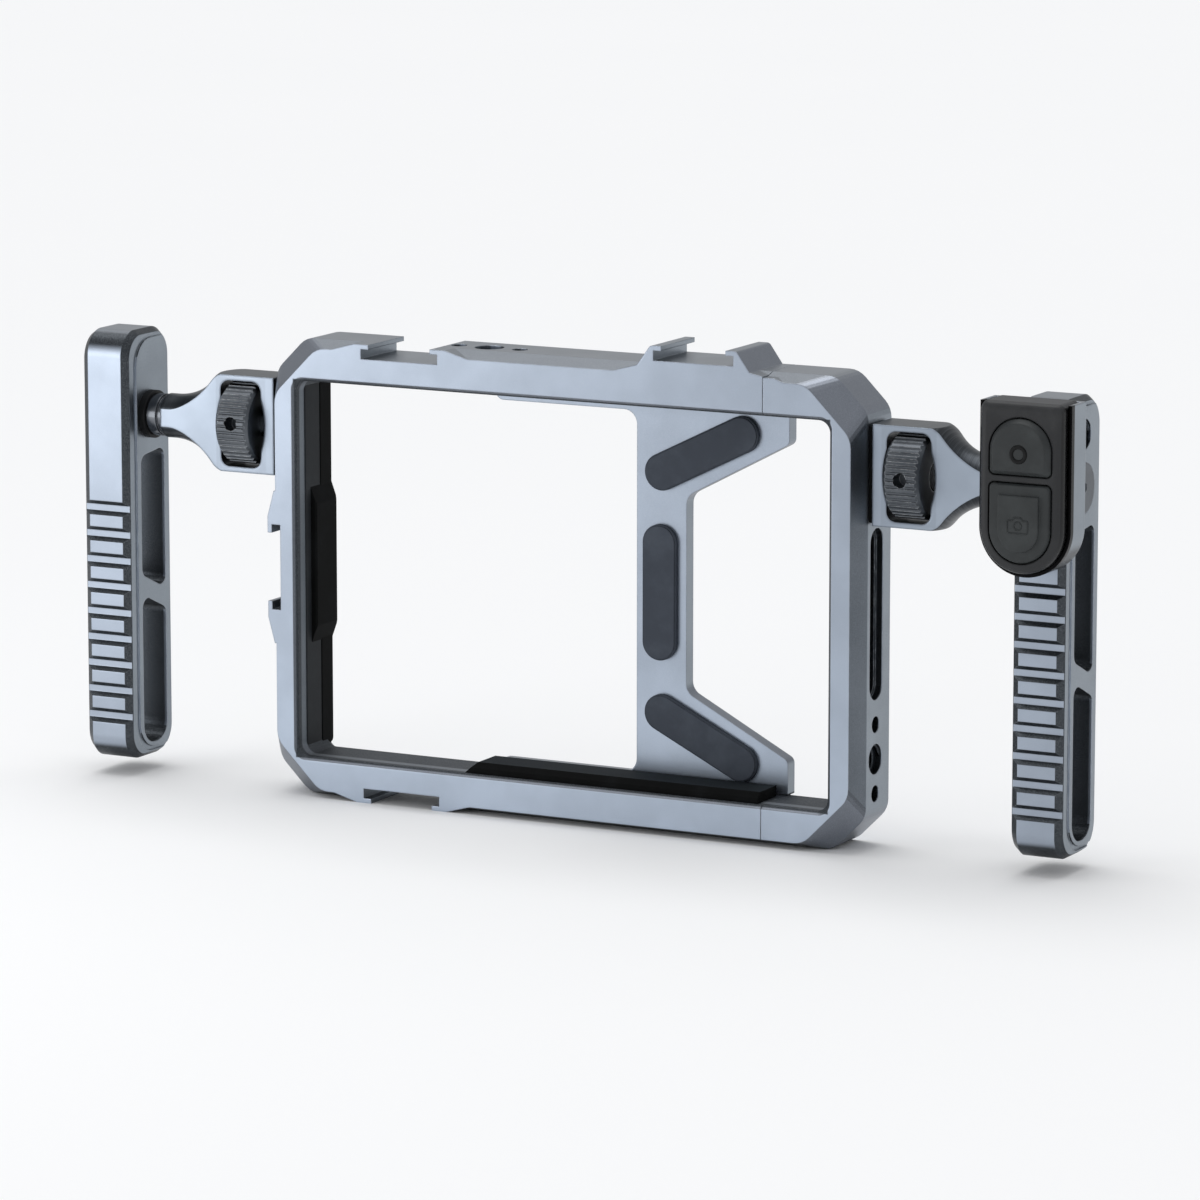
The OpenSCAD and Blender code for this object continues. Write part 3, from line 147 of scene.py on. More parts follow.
# %% the wire
class Wire:
    """One socket of a material's node tree that can be used in sums."""

    def __init__(self, tree, socket=None):
        self.tree = tree
        self.socket = socket

    def node(self, kind, settings=None, sockets=None, output=0):
        """Any node: its type, its settings, then the values or wires of its sockets."""
        made = self.tree.nodes.new("ShaderNode" + kind)
        for key, value in (settings or {}).items():
            setattr(made, key, value)
        for key, value in (sockets or {}).items():
            if isinstance(value, Wire):
                self.tree.links.new(value.socket, made.inputs[key])
            else:
                made.inputs[key].default_value = value
        return Wire(self.tree, made.outputs[output] if len(made.outputs) else None)

    def math(self, operation, first, second=0.0):
        return self.node("Math", {"operation": operation}, {0: first, 1: second})

    def __add__(self, other):
        return self.math("ADD", self, other)

    def __radd__(self, other):
        return self.math("ADD", other, self)

    def __sub__(self, other):
        return self.math("SUBTRACT", self, other)

    def __rsub__(self, other):
        return self.math("SUBTRACT", other, self)

    def __mul__(self, other):
        return self.math("MULTIPLY", self, other)

    def __rmul__(self, other):
        return self.math("MULTIPLY", other, self)

    def size(self):
        """The value without its sign."""
        return self.math("ABSOLUTE", self)

    def step(self, low, high):
        """0 below low, 1 above high, smooth between; falls instead of rising if low > high."""
        ends = {"To Min": float(low > high), "To Max": float(low <= high)}
        return self.node(
            "MapRange",
            {"interpolation_type": "SMOOTHSTEP"},
            {"Value": self, "From Min": min(low, high), "From Max": max(low, high), **ends},
        )


print("wire: adds, subtracts and multiplies, with a number on either side")

# %% [markdown]
# ## Where a point is and which way it faces
# A texture that is glued to the part needs the part's own place: the object coordinate, which
# in this frame is the CAD position, here in millimetres. The same node gives the surface's own
# direction, which turns with the part, so a grip keeps its finish when it swivels.

# %% place and direction
def start(name):
    """A new material with an empty tree, and a wire to build on."""
    material = bpy.data.materials.new(name)
    material.use_nodes = True
    material.node_tree.nodes.clear()
    return material, Wire(material.node_tree)


def place(w):
    """The CAD position in millimetres, as a vector."""
    at = w.node("TexCoord", output="Object")
    return w.node("VectorMath", {"operation": "SCALE"}, {0: at, "Scale": 1 / MM})


def parts(w, vector):
    """The X, Y and Z of a vector as three wires."""
    split = w.node("SeparateXYZ", sockets={0: vector})
    outputs = split.socket.node.outputs
    return [Wire(w.tree, outputs[i]) for i in range(3)]


def facing(w):
    """The X, Y and Z of the surface's own direction, which turns with the part."""
    return parts(w, w.node("TexCoord", output="Normal"))


print("readings: place in millimetres, direction from -1 to 1")

# %% [markdown]
# ## Grain
# Every finish has soft patches, fine grain or lines. All come from one noise texture: the size
# of its patches sets which of them it is, and a stretched position draws them out into lines.
# The noise seldom leaves the middle of its range: a step from 0.3 to 0.7 spreads it over the
# whole range, and a step that starts higher leaves only rare spots.

# %% grain
PATCHES, WORN_PATCHES = (0.3, 0.7), (0.35, 0.7)


def grain(w, at, size, detail=2.0, rough=0.5):
    """Soft noise from 0 to 1 whose patches are about that many millimetres across."""
    return w.node(
        "TexNoise",
        {"noise_dimensions": "3D"},
        {"Vector": at, "Scale": 1 / size, "Detail": detail, "Roughness": rough},
    )


def lines(w, at, fine, along, detail=2):
    """Noise that is fine along X and drawn out along Y and Z, both in millimetres."""
    shares = (1 / fine, 1 / along, 1 / along)
    return grain(w, w.node("VectorMath", {"operation": "MULTIPLY"}, {0: at, 1: shares}), 1, detail)


print("grain: patches and lines")

# %% [markdown]
# ## Edges
# The Bevel node tells how close a point is to a sharp edge, because there the rounded direction
# leans away from the flat one. That mask puts wear on every corner, and the rounded direction
# itself gives each corner a soft highlight without a single face more.

# %% edges
EDGE_START, EDGE_FULL = 0.03, 0.3
BEVEL_SAMPLES = 6


def rounded(w, radius):
    """The surface direction with its edges rounded off by so many millimetres."""
    return w.node("Bevel", {"samples": BEVEL_SAMPLES}, {"Radius": radius * MM})


def edges(w, soft, low=EDGE_START):
    """1 on sharp edges and 0 on flats, from a rounded direction."""
    flat = w.node("NewGeometry", output="Normal")
    same = w.node("VectorMath", {"operation": "DOT_PRODUCT"}, {0: flat, 1: soft}, "Value")
    return (1 - same).step(low, EDGE_FULL)


print("edges: a mask from", EDGE_START, "to", EDGE_FULL)

# %% [markdown]
# ## Colours, relief and the shader
# Colours are mixed by masks, layer over layer: dye, dust and wear as they lie on the real thing, and painted
# light and shade.
# Roughness and relief are sums: a base, and what each mask adds or takes by its share in a
# small table. Relief tilts the direction that the light sees by less than a hair's width. The
# Mix node has a set of sockets for each kind of value, and the colour ones are called by number.

# %% colours, relief and the shader
MIX_MASK, MIX_FIRST, MIX_SECOND, MIX_RESULT = 0, 6, 7, 2


def tone(red, green, blue):
    """A colour as a screen shows it, 0 to 255, turned into light by the sRGB curve."""
    shares = [v / 255 for v in (red, green, blue)]
    return (*[((v + 0.055) / 1.055) ** 2.4 if v > 0.04 else v / 12.92 for v in shares], 1)


def blend(w, mask, first, second):
    """The first colour where the mask is 0, the second where it is 1."""
    sockets = {MIX_MASK: mask, MIX_FIRST: first, MIX_SECOND: second}
    return w.node("Mix", {"data_type": "RGBA"}, sockets, MIX_RESULT)


def layered(shares, **masks):
    """A base value and what each mask adds to it, by its share in a table."""
    total = shares["base"]
    for name, mask in masks.items():
        total = mask * shares[name] + total
    return total


def bump(w, height, strength, depth, normal):
    """Lifts the surface by a height from 0 to 1, which stands for depth millimetres."""
    sockets = {"Height": height, "Strength": strength, "Distance": depth * MM, "Normal": normal}
    return w.node("Bump", {}, sockets)


def shell(w, **sockets):
    """The shader itself; the names are its sockets, with underscores for spaces."""
    named = {key.replace("_", " "): value for key, value in sockets.items()}
    surface = w.node("BsdfPrincipled", {}, named, "BSDF")
    w.node("OutputMaterial", {}, {"Surface": surface})


print("a mid grey is", [round(v, 3) for v in tone(128, 128, 128)])

# %% [markdown]
# ## Faces told apart
# A milled part gets painted light and shade by its direction: a lit tone for the front and back,
# shaded tones for the sides, the tops and the slants. The surface's direction tells them apart on
# every node, with no need to pick faces by hand, and a slanted face is one that looks along no axis.

# %% faces told apart
FACES_ALONG = (0.86, 0.97)


def shade_by_direction(w, front, side, level, slant):
    """Painted light and shade: a colour for the front and back, one for the sides, one for tops, one for all
    between.
    """
    x, y, z = (axis.size().step(*FACES_ALONG) for axis in facing(w))
    body = blend(w, x, slant, side)
    body = blend(w, z, body, level)
    return blend(w, y, body, front)


def larger(w, first, second):
    """The larger of two masks, which joins them."""
    return w.math("MAXIMUM", first, second)


print("a face looks along an axis from", FACES_ALONG[1])

# %% [markdown]
# ## Painted shade inside
# The walls inside the cage's opening, the pockets in the grips and the cable slots are painted
# nearly black as shade, because little light comes in there. They are found by position, in the
# millimetres of the CAD, and by nothing that depends on the camera. Behind the chamfer of the
# opening a narrow land is painted lighter, as a highlight.

# %% the walls of the opening
OPENING_HALF, OPENING_HALF_HEIGHT = 62.75, 40.55
OPENING_MIDDLE = 49.3
ON_WALL = (0.5, 0.25)
IN_CORNER = (-5.0, -4.5)
LAND_FRONT, LAND_BACK, LAND_FADE = -6.0, -3.4, 0.6


def opening_wall(w, x, z):
    """1 on the walls and corners inside the cage's opening, 0 elsewhere."""
    across = x.size() - OPENING_HALF
    up = (z - OPENING_MIDDLE).size() - OPENING_HALF_HEIGHT
    out = larger(w, across, up)
    corner = (across + up).step(*IN_CORNER) * out.step(*ON_WALL)
    return larger(w, out.size().step(*ON_WALL), corner)


def opening_land_highlight(y):
    """1 on the narrow strip behind the opening's front chamfer, where a highlight is painted."""
    return y.step(LAND_FRONT, LAND_FRONT + LAND_FADE) * y.step(LAND_BACK, LAND_BACK - LAND_FADE)


print("opening:", 2 * OPENING_HALF, "by", 2 * OPENING_HALF_HEIGHT, "mm")

# %% hollows
HOLLOW_FADES = (0.3, 0.5, 1)
GRIP_POCKETS = ((109.8, 0.6, 50), (4.9, 7.0, 45))
CABLE_SLOTS = ((66.2, 1.1, 49), (3.1, 3.6, 39))
WHEEL_WINDOWS = ((78.7, 3.0, 78.8), (6.0, 5.9, 9.6))


def hollow(at, box):
    """1 in a box of (middle, half size) and in its mirror image across X, fading at its sides."""
    x, y, z = at
    inside = 1.0
    for axis, middle, half, fade in zip((x.size(), y, z), *box, HOLLOW_FADES):
        inside = (axis - middle).size().step(half + fade, half) * inside
    return inside


print("hollows: grip pockets, cable slots and wheel windows, on both sides")

# %% [markdown]
# ## Blasted aluminium
# The cage, plate, grips and cradle are milled, blasted with fine beads and anodised in a cool
# blue grey. Light and shade are painted into the dye by direction: the front and back are painted
# lit, lighter than the sides, and the cage's front is painted lighter still towards the lower rail.
# The bevels and every face that looks down are painted in shade. The rim of the remote's cradle
# is painted black as a shadow, so that the case seems to go deeper into it. Blasting leaves a fine
# even grain that breaks the mirror into a satin glow, and on the edges handling has rubbed the dye
# lighter.

# %% the colours of the blasted parts
GRIP_START, GRIP_FADE = 98.0, 1
LIT_LOW_FROM = 50
UPRIGHT_BEVEL, UPRIGHT_BEVEL_SHADE = (0.4, 0.15), 0.55
LOOKS_DOWN, UNDERSIDE_SHADE = (-0.8, -0.9), 0.85
WALL_SHADE, LAND_SHADE, HOLLOW_SHADE = 0.94, 0.6, 0.92


def blasted_colour(w, at, tones):
    """The painted light and shade before any wear: by direction, then painted shade in the opening, the
    hollows and on faces that look down.
    """
    x, y, z = at
    grips = x.size().step(GRIP_START, GRIP_START + GRIP_FADE)
    # Painted shade: bevels take the slant tone, and on the grips and upright bevels the dark tone.
    upright_bevel = facing(w)[2].size().step(*UPRIGHT_BEVEL) * UPRIGHT_BEVEL_SHADE
    bevel = blend(w, larger(w, grips, upright_bevel), tones["slant"], tones["dark"])
    # Painted light: the cage's front turns lighter towards the lower rail.
    front = blend(w, z.step(LIT_LOW_FROM, 0) * (1 - grips), tones["front"], tones["pale"])
    body = shade_by_direction(w, front, tones["side"], tones["level"], bevel)
    # Painted shade: the opening's walls, the grip pockets and the cable slots are darkened; the land behind
    # the chamfer keeps a painted highlight.
    hollows = larger(w, hollow(at, GRIP_POCKETS), hollow(at, CABLE_SLOTS)) * HOLLOW_SHADE
    painted_shade_inside = larger(w, opening_wall(w, x, z) * (WALL_SHADE - LAND_SHADE * opening_land_highlight(y)), hollows)
    # Painted shade: faces that look down are darkened.
    under = facing(w)[2].step(*LOOKS_DOWN) * UNDERSIDE_SHADE
    return blend(w, larger(w, painted_shade_inside, under), body, tones["dark"])


print("the grips begin", GRIP_START, "mm from the middle")

# %% blasted aluminium
RIM_BACK, RIM_FADE = -13.9, 0.2
RIM_SHADOW_BLACK = tone(20, 20, 21)
BEAD_TIPS, PIT_SPOTS = (0.35, 0.75), (0.62, 0.8)
BLASTED_CLOUD, BEAD_GLINT = 0.12, 0.16
BLASTED_WEAR, WEAR_LOST_ON_WALLS = 0.5, 0.3
BLASTED_ROUGHNESS = {"base": 0.3, "cloud": 0.08, "beads": 0.06, "worn": -0.1, "walls": 0.25}
BLASTED_RELIEF = {"base": 0.0, "beads": 0.7, "pits": 0.3}


def blasted_aluminium(name, **tones):
    """Beads, pits and clouds over the dye, wear on the edges, then the rim's painted black shadow over all.
    """
    material, w = start(name)
    place_mm = place(w)
    x, y, z = parts(w, place_mm)
    soft = rounded(w, radius=0.35)
    worn = edges(w, soft) * grain(w, place_mm, size=1.6, detail=3).step(*WORN_PATCHES)
    cloud = grain(w, place_mm, size=14, detail=3, rough=0.55)
    beads = grain(w, place_mm, size=0.16, detail=2, rough=0.6)
    pits = grain(w, place_mm, size=0.55).step(*PIT_SPOTS)
    walls = opening_wall(w, x, z)
    body = blasted_colour(w, (x, y, z), tones)
    body = blend(w, cloud.step(*PATCHES) * BLASTED_CLOUD, body, tones["dark"])
    body = blend(w, beads.step(*BEAD_TIPS) * BEAD_GLINT, body, tones["edge"])
    body = blend(w, worn * (BLASTED_WEAR - walls * WEAR_LOST_ON_WALLS), body, tones["edge"])
    # Painted shadow: the rim of the remote's cradle is painted black so that the case seems to go deeper.
    body = blend(w, y.step(RIM_BACK, RIM_BACK - RIM_FADE), body, RIM_SHADOW_BLACK)
    rough = layered(BLASTED_ROUGHNESS, cloud=cloud, beads=beads, worn=worn, walls=walls)
    relief = layered(BLASTED_RELIEF, beads=beads, pits=pits)
    lift = bump(w, relief, strength=0.3, depth=0.03, normal=soft)
    shell(w, Base_Color=body, Metallic=1.0, Roughness=rough, Normal=lift)
    return material


anodised = blasted_aluminium(
    "blasted_anodised_aluminium",
    # The front tones are painted light, the side, level and slant tones painted shade; the dark tone is both
    # painted shade and the clouds' darker dye.
    front=tone(164, 174, 188),
    pale=tone(183, 195, 211),
    side=tone(136, 144, 152),
    level=tone(138, 143, 149),
    slant=tone(128, 133, 142),
    dark=tone(50, 54, 58),
    edge=tone(205, 211, 218),
)
print("finish:", anodised.name)

# %% [markdown]
# ## Turned aluminium
# The arms are turned on a lathe, then milled flat at the front and back. Shade is painted into
# the colour: the turned neck and shoulders are painted nearly black, the arm's sides and tops dark,
# and the walls of the wheel windows black, while the flats stay light. The tool leaves rings round
# the neck, finer than a hair, which draw out the highlight along the arm: they are the same noise,
# drawn out across the arm, and show only where the surface is round.

# %% turned aluminium
NOT_FLAT = (0.995, 0.97)
WINDOW_SHADE_BLACK = tone(26, 28, 31)
TURNED_CLOUD, RING_GLINT, TURNED_WEAR = 0.1, 0.08, 0.5
TURNED_ROUGHNESS = {"base": 0.28, "cloud": 0.08, "beads": 0.05, "worn": -0.08}
TURNED_RELIEF = {"base": 0.0, "rings": 0.7, "beads": 0.3}


def turned_aluminium(name, flat, level, neck, edge):
    """Light flats, painted shade on the turned neck with fine rings, and painted black shade inside the
    windows.
    """
    material, w = start(name)
    at = place(w)
    round_part = facing(w)[1].size().step(*NOT_FLAT)
    worn = edges(w, rounded(w, radius=0.3)) * grain(w, at, size=1.5, detail=3).step(*PATCHES)
    cloud = grain(w, at, size=10, detail=3, rough=0.55)
    rings = lines(w, at, fine=0.12, along=40)
    round_rings = rings.step(*PATCHES) * round_part
    beads = grain(w, at, size=0.14, detail=2, rough=0.6)
    windows = hollow(parts(w, at), WHEEL_WINDOWS)
    # Painted shade: the neck, shoulders, sides and tops take dark tones by direction, and the windows' walls
    # are painted black.
    body = blend(w, windows, shade_by_direction(w, flat, level, level, neck), WINDOW_SHADE_BLACK)
    body = blend(w, cloud.step(*PATCHES) * TURNED_CLOUD, body, neck)
    body = blend(w, round_rings * RING_GLINT, body, edge)
    body = blend(w, worn * TURNED_WEAR, body, edge)
    rough = layered(TURNED_ROUGHNESS, cloud=cloud, beads=beads, worn=worn)
    relief = layered(TURNED_RELIEF, rings=rings * round_part, beads=beads)
    lift = bump(w, relief, strength=0.25, depth=0.03, normal=rounded(w, radius=0.7))
    shell(w, Base_Color=body, Metallic=1.0, Roughness=rough, Normal=lift)
    return material


turned = turned_aluminium(
    "turned_anodised_aluminium",
    # The level and neck tones are painted shade.
    flat=tone(161, 171, 184),
    level=tone(57, 61, 65),
    neck=tone(44, 47, 51),
    edge=tone(205, 211, 218),
)
print("finish:", turned.name)

# %% [markdown]
# ## Blackened steel
# The wheels, screws and pivot bolts are steel with a thin black oxide. It is cloudy from the
# bath, has fine lines from the lathe, and is lighter on its edges and the knurl's crests, partly
# rubbed through and partly a painted highlight.

# %% blackened steel
RUBBED_CRESTS, OXIDE_CLOUDS = (0.3, 0.65), (0.3, 0.75)
OXIDE_EDGE_START = 0.02
OXIDE_CLOUD, OXIDE_WEAR_AND_HIGHLIGHT = 0.5, 0.8
OXIDE_ROUGHNESS = {"base": 0.28, "cloud": 0.16, "tool_lines": 0.05, "worn": -0.08}
OXIDE_RELIEF = {"base": 0.0, "tool_lines": 0.5, "skin": 0.5}


def blackened_steel(name, dark, bright, wear):
    """A cloudy black oxide with lathe lines, lighter on its edges: partly real wear, partly a painted
    highlight.
    """
    material, w = start(name)
    at = place(w)
    soft = rounded(w, radius=0.25)
    worn = edges(w, soft, OXIDE_EDGE_START) * grain(w, at, size=0.8, detail=3).step(*RUBBED_CRESTS)
    cloud = grain(w, at, size=5, detail=3, rough=0.6)
    tool_lines = lines(w, at, fine=0.1, along=8)
    body = blend(w, cloud.step(*OXIDE_CLOUDS) * OXIDE_CLOUD, dark, bright)
    # Real wear and painted highlight: the edges and knurl crests are brightened.
    body = blend(w, worn * OXIDE_WEAR_AND_HIGHLIGHT, body, wear)
    rough = layered(OXIDE_ROUGHNESS, cloud=cloud, tool_lines=tool_lines, worn=worn)
    relief = layered(OXIDE_RELIEF, tool_lines=tool_lines, skin=grain(w, at, size=0.2))
    lift = bump(w, relief, strength=0.25, depth=0.02, normal=soft)
    shell(w, Base_Color=body, Metallic=1.0, Roughness=rough, Normal=lift)
    return material


blackened = blackened_steel("blackened_steel", tone(88, 92, 97), tone(114, 118, 123), tone(208, 211, 214))
print("finish:", blackened.name)

# %% [markdown]
# ## Polished steel
# The spacers, rods and pins are polished, so they mirror the room sharply. Real polish always
# has a few hair scratches, which show as thin dull lines, and faint clouds from handling.

# %% polished steel
HAIR_LINES, SCUFF_CLOUDS = (0.55, 0.75), (0.35, 0.8)
SCUFF_SHARE = 0.5
POLISHED_ROUGHNESS = {"base": 0.16, "cloud": 0.08, "hair": 0.08}


def polished_steel(name, face, scuff):
    """A clear mirror with hair scratches and faint clouds."""
    material, w = start(name)
    at = place(w)
    hair = lines(w, at, fine=0.08, along=3, detail=3).step(*HAIR_LINES)
    cloud = grain(w, at, size=4, detail=3)
    body = blend(w, cloud.step(*SCUFF_CLOUDS) * SCUFF_SHARE, face, scuff)
    rough = layered(POLISHED_ROUGHNESS, cloud=cloud, hair=hair)
    lift = bump(w, hair, strength=0.12, depth=0.01, normal=rounded(w, radius=0.3))
    shell(w, Base_Color=body, Metallic=1.0, Roughness=rough, Normal=lift)
    return material


polished = polished_steel("polished_steel", tone(104, 107, 112), tone(74, 77, 82))
print("finish:", polished.name)

# %% [markdown]
# ## Rubber and plastic
# The pads are moulded rubber with a dull, slightly dusty skin, and on the black rubber the faces
# that look up are painted lighter as a sheen. The remote is hard black plastic with a fine spark
# texture, its sides painted darker as shade, and its buttons are a softer, satin plastic. All of
# them come from one mould recipe, with another skin and gloss.

# %% moulded finish
SKIN_DEPTH = 0.05
LOOKS_ACROSS, SHEEN_LOOKS_UP = (0.6, 0.95), (0.7, 0.95)
DUST_CLOUDS, DUST_SPECKS = (0.4, 0.8), (0.66, 0.8)
DUST_SHARE, DUST_LOST_ACROSS = 0.4, 0.3
RUBBED_SHARE, SPECK_SHARE = 0.35, 0.08
MOULDED_ROUGHNESS = {"cloud": 0.08, "texture": 0.06, "rubbed": -0.08, "across": -0.16}


def moulded(name, face, dust, rough, skin, radius=0.3, gloss=0.3, side=None, top=None):
    """A dull moulded surface: skin is the width of its texture, side a painted shade and top a painted sheen.
    """
    material, w = start(name)
    at = place(w)
    soft = rounded(w, radius)
    rubbed = edges(w, soft) * grain(w, at, size=1.2, detail=3).step(*WORN_PATCHES)
    cloud = grain(w, at, size=7, detail=4, rough=0.6)
    texture = grain(w, at, skin, 2, 0.6)
    specks = grain(w, at, size=0.7).step(*DUST_SPECKS)
    # Painted shade: faces that look across take the side tone.
    across = facing(w)[0].size().step(*LOOKS_ACROSS) if side else 0.0
    body = blend(w, across, face, side or face)
    # Painted sheen: faces that look up take the top tone.
    if top:
        body = blend(w, facing(w)[2].step(*SHEEN_LOOKS_UP), body, top)
    body = blend(w, cloud.step(*DUST_CLOUDS) * (DUST_SHARE - DUST_LOST_ACROSS * across), body, dust)
    body = blend(w, rubbed * RUBBED_SHARE + specks * SPECK_SHARE, body, dust)
    shares = {"base": rough, **MOULDED_ROUGHNESS}
    shade = layered(shares, cloud=cloud, texture=texture, rubbed=rubbed, across=across)
    lift = bump(w, texture, strength=0.35, depth=SKIN_DEPTH, normal=soft)
    shell(w, Base_Color=body, Roughness=shade, Specular_IOR_Level=gloss, Normal=lift)
    return material


print("a moulded skin is", SKIN_DEPTH, "mm deep")

# %% rubber
black_rubber = moulded(
    "dull_black_rubber",
    face=tone(11, 12, 12),
    dust=tone(30, 32, 34),
    # The top tone is a painted sheen on faces that look up.
    top=tone(32, 37, 41),
    rough=0.62,
    skin=0.25,
    gloss=0.06,
)
slate_rubber = moulded(
    "dull_slate_rubber", face=tone(58, 64, 74), dust=tone(84, 91, 101), rough=0.6, skin=0.22
)
lining_rubber = moulded(
    "lining_rubber", face=tone(38, 41, 44), dust=tone(58, 61, 64), rough=0.55, skin=0.3, gloss=0.15
)
print("finishes:", [m.name for m in (black_rubber, slate_rubber, lining_rubber)])

# %% plastic
bush_plastic = moulded(
    "smooth_bush_plastic", face=tone(14, 15, 16), dust=tone(30, 31, 33), rough=0.42, skin=0.4, gloss=0.2
)
remote_plastic = moulded(
    "spark_textured_plastic",
    face=tone(40, 41, 43),
    dust=tone(66, 67, 68),
    # The side tone is painted shade on the case's sides.
    side=tone(14, 14, 15),
    rough=0.36,
    skin=0.18,
    radius=0.5,
)
button_rubber = moulded(
    "satin_button_rubber", face=tone(46, 49, 50), dust=tone(72, 76, 77), rough=0.4, skin=0.15, radius=0.45
)
print("finishes:", [m.name for m in (bush_plastic, remote_plastic, button_rubber)])

# %% [markdown]
# ## Board and cell
# Inside the remote sit a green circuit board and a coin cell, seen only when it is taken
# apart. The board gets copper tracks under its lacquer: a brick texture's mortar is a net of
# straight lines that jog, as tracks do. The cell is a polished bright can.

# %% board and cell
TRACKS_A_MM, TRACK_WIDTH, TRACK_LENGTH, TRACK_JOG = 0.6, 0.06, 1.4, 0.35
TRACK_SHADE = 0.6
LACQUER_ROUGHNESS = {"base": 0.3, "cloud": 0.1}
FLAT_ACROSS_BOARD = (1, 1 / 1000, 1)


def lacquered_board(name):
    """Green lacquer over a net of copper tracks."""
    material, w = start(name)
    at = place(w)
    on_board = w.node("VectorMath", {"operation": "MULTIPLY"}, {0: at, 1: FLAT_ACROSS_BOARD})
    net = {"Vector": on_board, "Scale": TRACKS_A_MM, "Mortar Size": TRACK_WIDTH, "Brick Width": TRACK_LENGTH}
    tracks = w.node("TexBrick", {"offset": TRACK_JOG}, net, "Fac")
    cloud = grain(w, at, size=3, detail=3)
    body = blend(w, cloud, tone(20, 92, 52), tone(26, 108, 60))
    body = blend(w, tracks * TRACK_SHADE, body, tone(70, 150, 84))
    lift = bump(w, tracks, strength=0.3, depth=0.03, normal=w.node("NewGeometry", output="Normal"))
    shell(w, Base_Color=body, Roughness=layered(LACQUER_ROUGHNESS, cloud=cloud), Normal=lift)
    return material


board = lacquered_board("lacquered_board")
cell_can = polished_steel("cell_can", tone(214, 216, 218), tone(188, 190, 193))
print("finishes:", board.name, cell_can.name)

# %% [markdown]
# ## Finishes onto the frame
# The record names a material slot for each node, so one table from slot to finish dresses
# the whole frame, and a node that is added later gets its finish by itself.

# %% dress the frame
FINISHES = {
    "anodised_frame": anodised,
    "anodised_arm": turned,
    "dark_steel": blackened,
    "bright_steel": polished,
    "bush_plastic": bush_plastic,
    "black_rubber": black_rubber,
    "slate_rubber": slate_rubber,
    "remote_plastic": remote_plastic,
    "button_rubber": button_rubber,
    "circuit_board": board,
    "cell_steel": cell_can,
}


def dress(thing, finish):
    """Gives a mesh its one finish."""
    thing.data.materials.clear()
    thing.data.materials.append(finish)


for row in frame["record"]["subparts"]:
    dress(nodes[row["node"]], FINISHES[row["material_slot"]])

# %% [markdown]
# ## Paper on the floor
# The floor is seamless paper, nearly white. It has faint clouds a hand wide, so that it isn't
# one dead tone, and no gloss at all.

# %% floor paper
PAPER_CLOUD = 0.3
PAPER_ROUGHNESS = {"base": 0.9, "cloud": -0.05}


def floor_paper(name):
    """Seamless paper with faint clouds."""
    material, w = start(name)
    cloud = grain(w, place(w), size=220, detail=3)
    body = blend(w, cloud * PAPER_CLOUD, tone(250, 250, 250), tone(245, 246, 246))
    shell(w, Base_Color=body, Roughness=layered(PAPER_ROUGHNESS, cloud=cloud))
    return material


dress(studio_floor, floor_paper("floor_paper"))
print("floor:", studio_floor.data.materials[0].name)

# %% [markdown]
# ## Making small pieces
# CAD leaves out what a printed drawing only notes: threads, cross recesses and signs. Each is
# small but catches the light where the eye looks, so each is real geometry. One helper turns
# rings of points into a closed skin, and most small pieces below are a list of rings. Another
# makes the piece ride on its body, so that it moves with the joints.

# %% a piece that rides
def piece(name, mesh, body, finish):
    """A mesh, dressed in a finish, that rides on a body."""
    made = link(bpy.data.objects.new(name, mesh))
    dress(made, finish)
    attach(made, body)
    return made


def upright(outward):
    """The turn that takes +Z to a direction."""
    return Vector(outward).to_track_quat("Z", "Y").to_matrix()


# %% a skin over rings
def skin(name, rings, closed=False, smooth=True):
    """A mesh from rings of equally many points: open strings get end caps."""
    count = len(rings[0])
    faces = []
    for i in range(len(rings) if closed else len(rings) - 1):
        here, there = i * count, (i + 1) % len(rings) * count
        for k in range(count):
            n = (k + 1) % count
            faces.append((here + k, here + n, there + n, there + k))
    if not closed:
        faces.append(tuple(reversed(range(count))))
        faces.append(tuple(range((len(rings) - 1) * count, len(rings) * count)))
    mesh = bpy.data.meshes.new(name)
    mesh.from_pydata([tuple(p) for ring in rings for p in ring], [], faces)
    work = bmesh.new()
    work.from_mesh(mesh)
    bmesh.ops.recalc_face_normals(work, faces=work.faces)
    for face in work.faces:
        face.smooth = smooth and len(face.verts) == 4
    work.to_mesh(mesh)
    work.free()
    return mesh


print("skin: rings in order, outward faces")

# %% [markdown]
# ## Quarter inch threads
# Accessories screw into five quarter inch holes, which the CAD drills plain. A real thread is
# a ridge that climbs 1.27 mm a turn, so here a small ridge with four corners is walked round a
# helix inside each hole. It runs out at both ends over a quarter turn, as a tapped thread does.
# Where the holes are, how wide and how deep, comes from the record's own mounts.

# %% threads
THREAD_PITCH = 1.27
THREAD_DEPTH = 0.62
THREAD_STEPS = 40
THREAD_MARGIN = 0.2
THREAD_BITE = 0.02
ROOT_SHARE, CREST_SHARE = 0.45, 0.07
RUN_OUTS_A_TURN, LEAST_SHARE = 4, 0.02


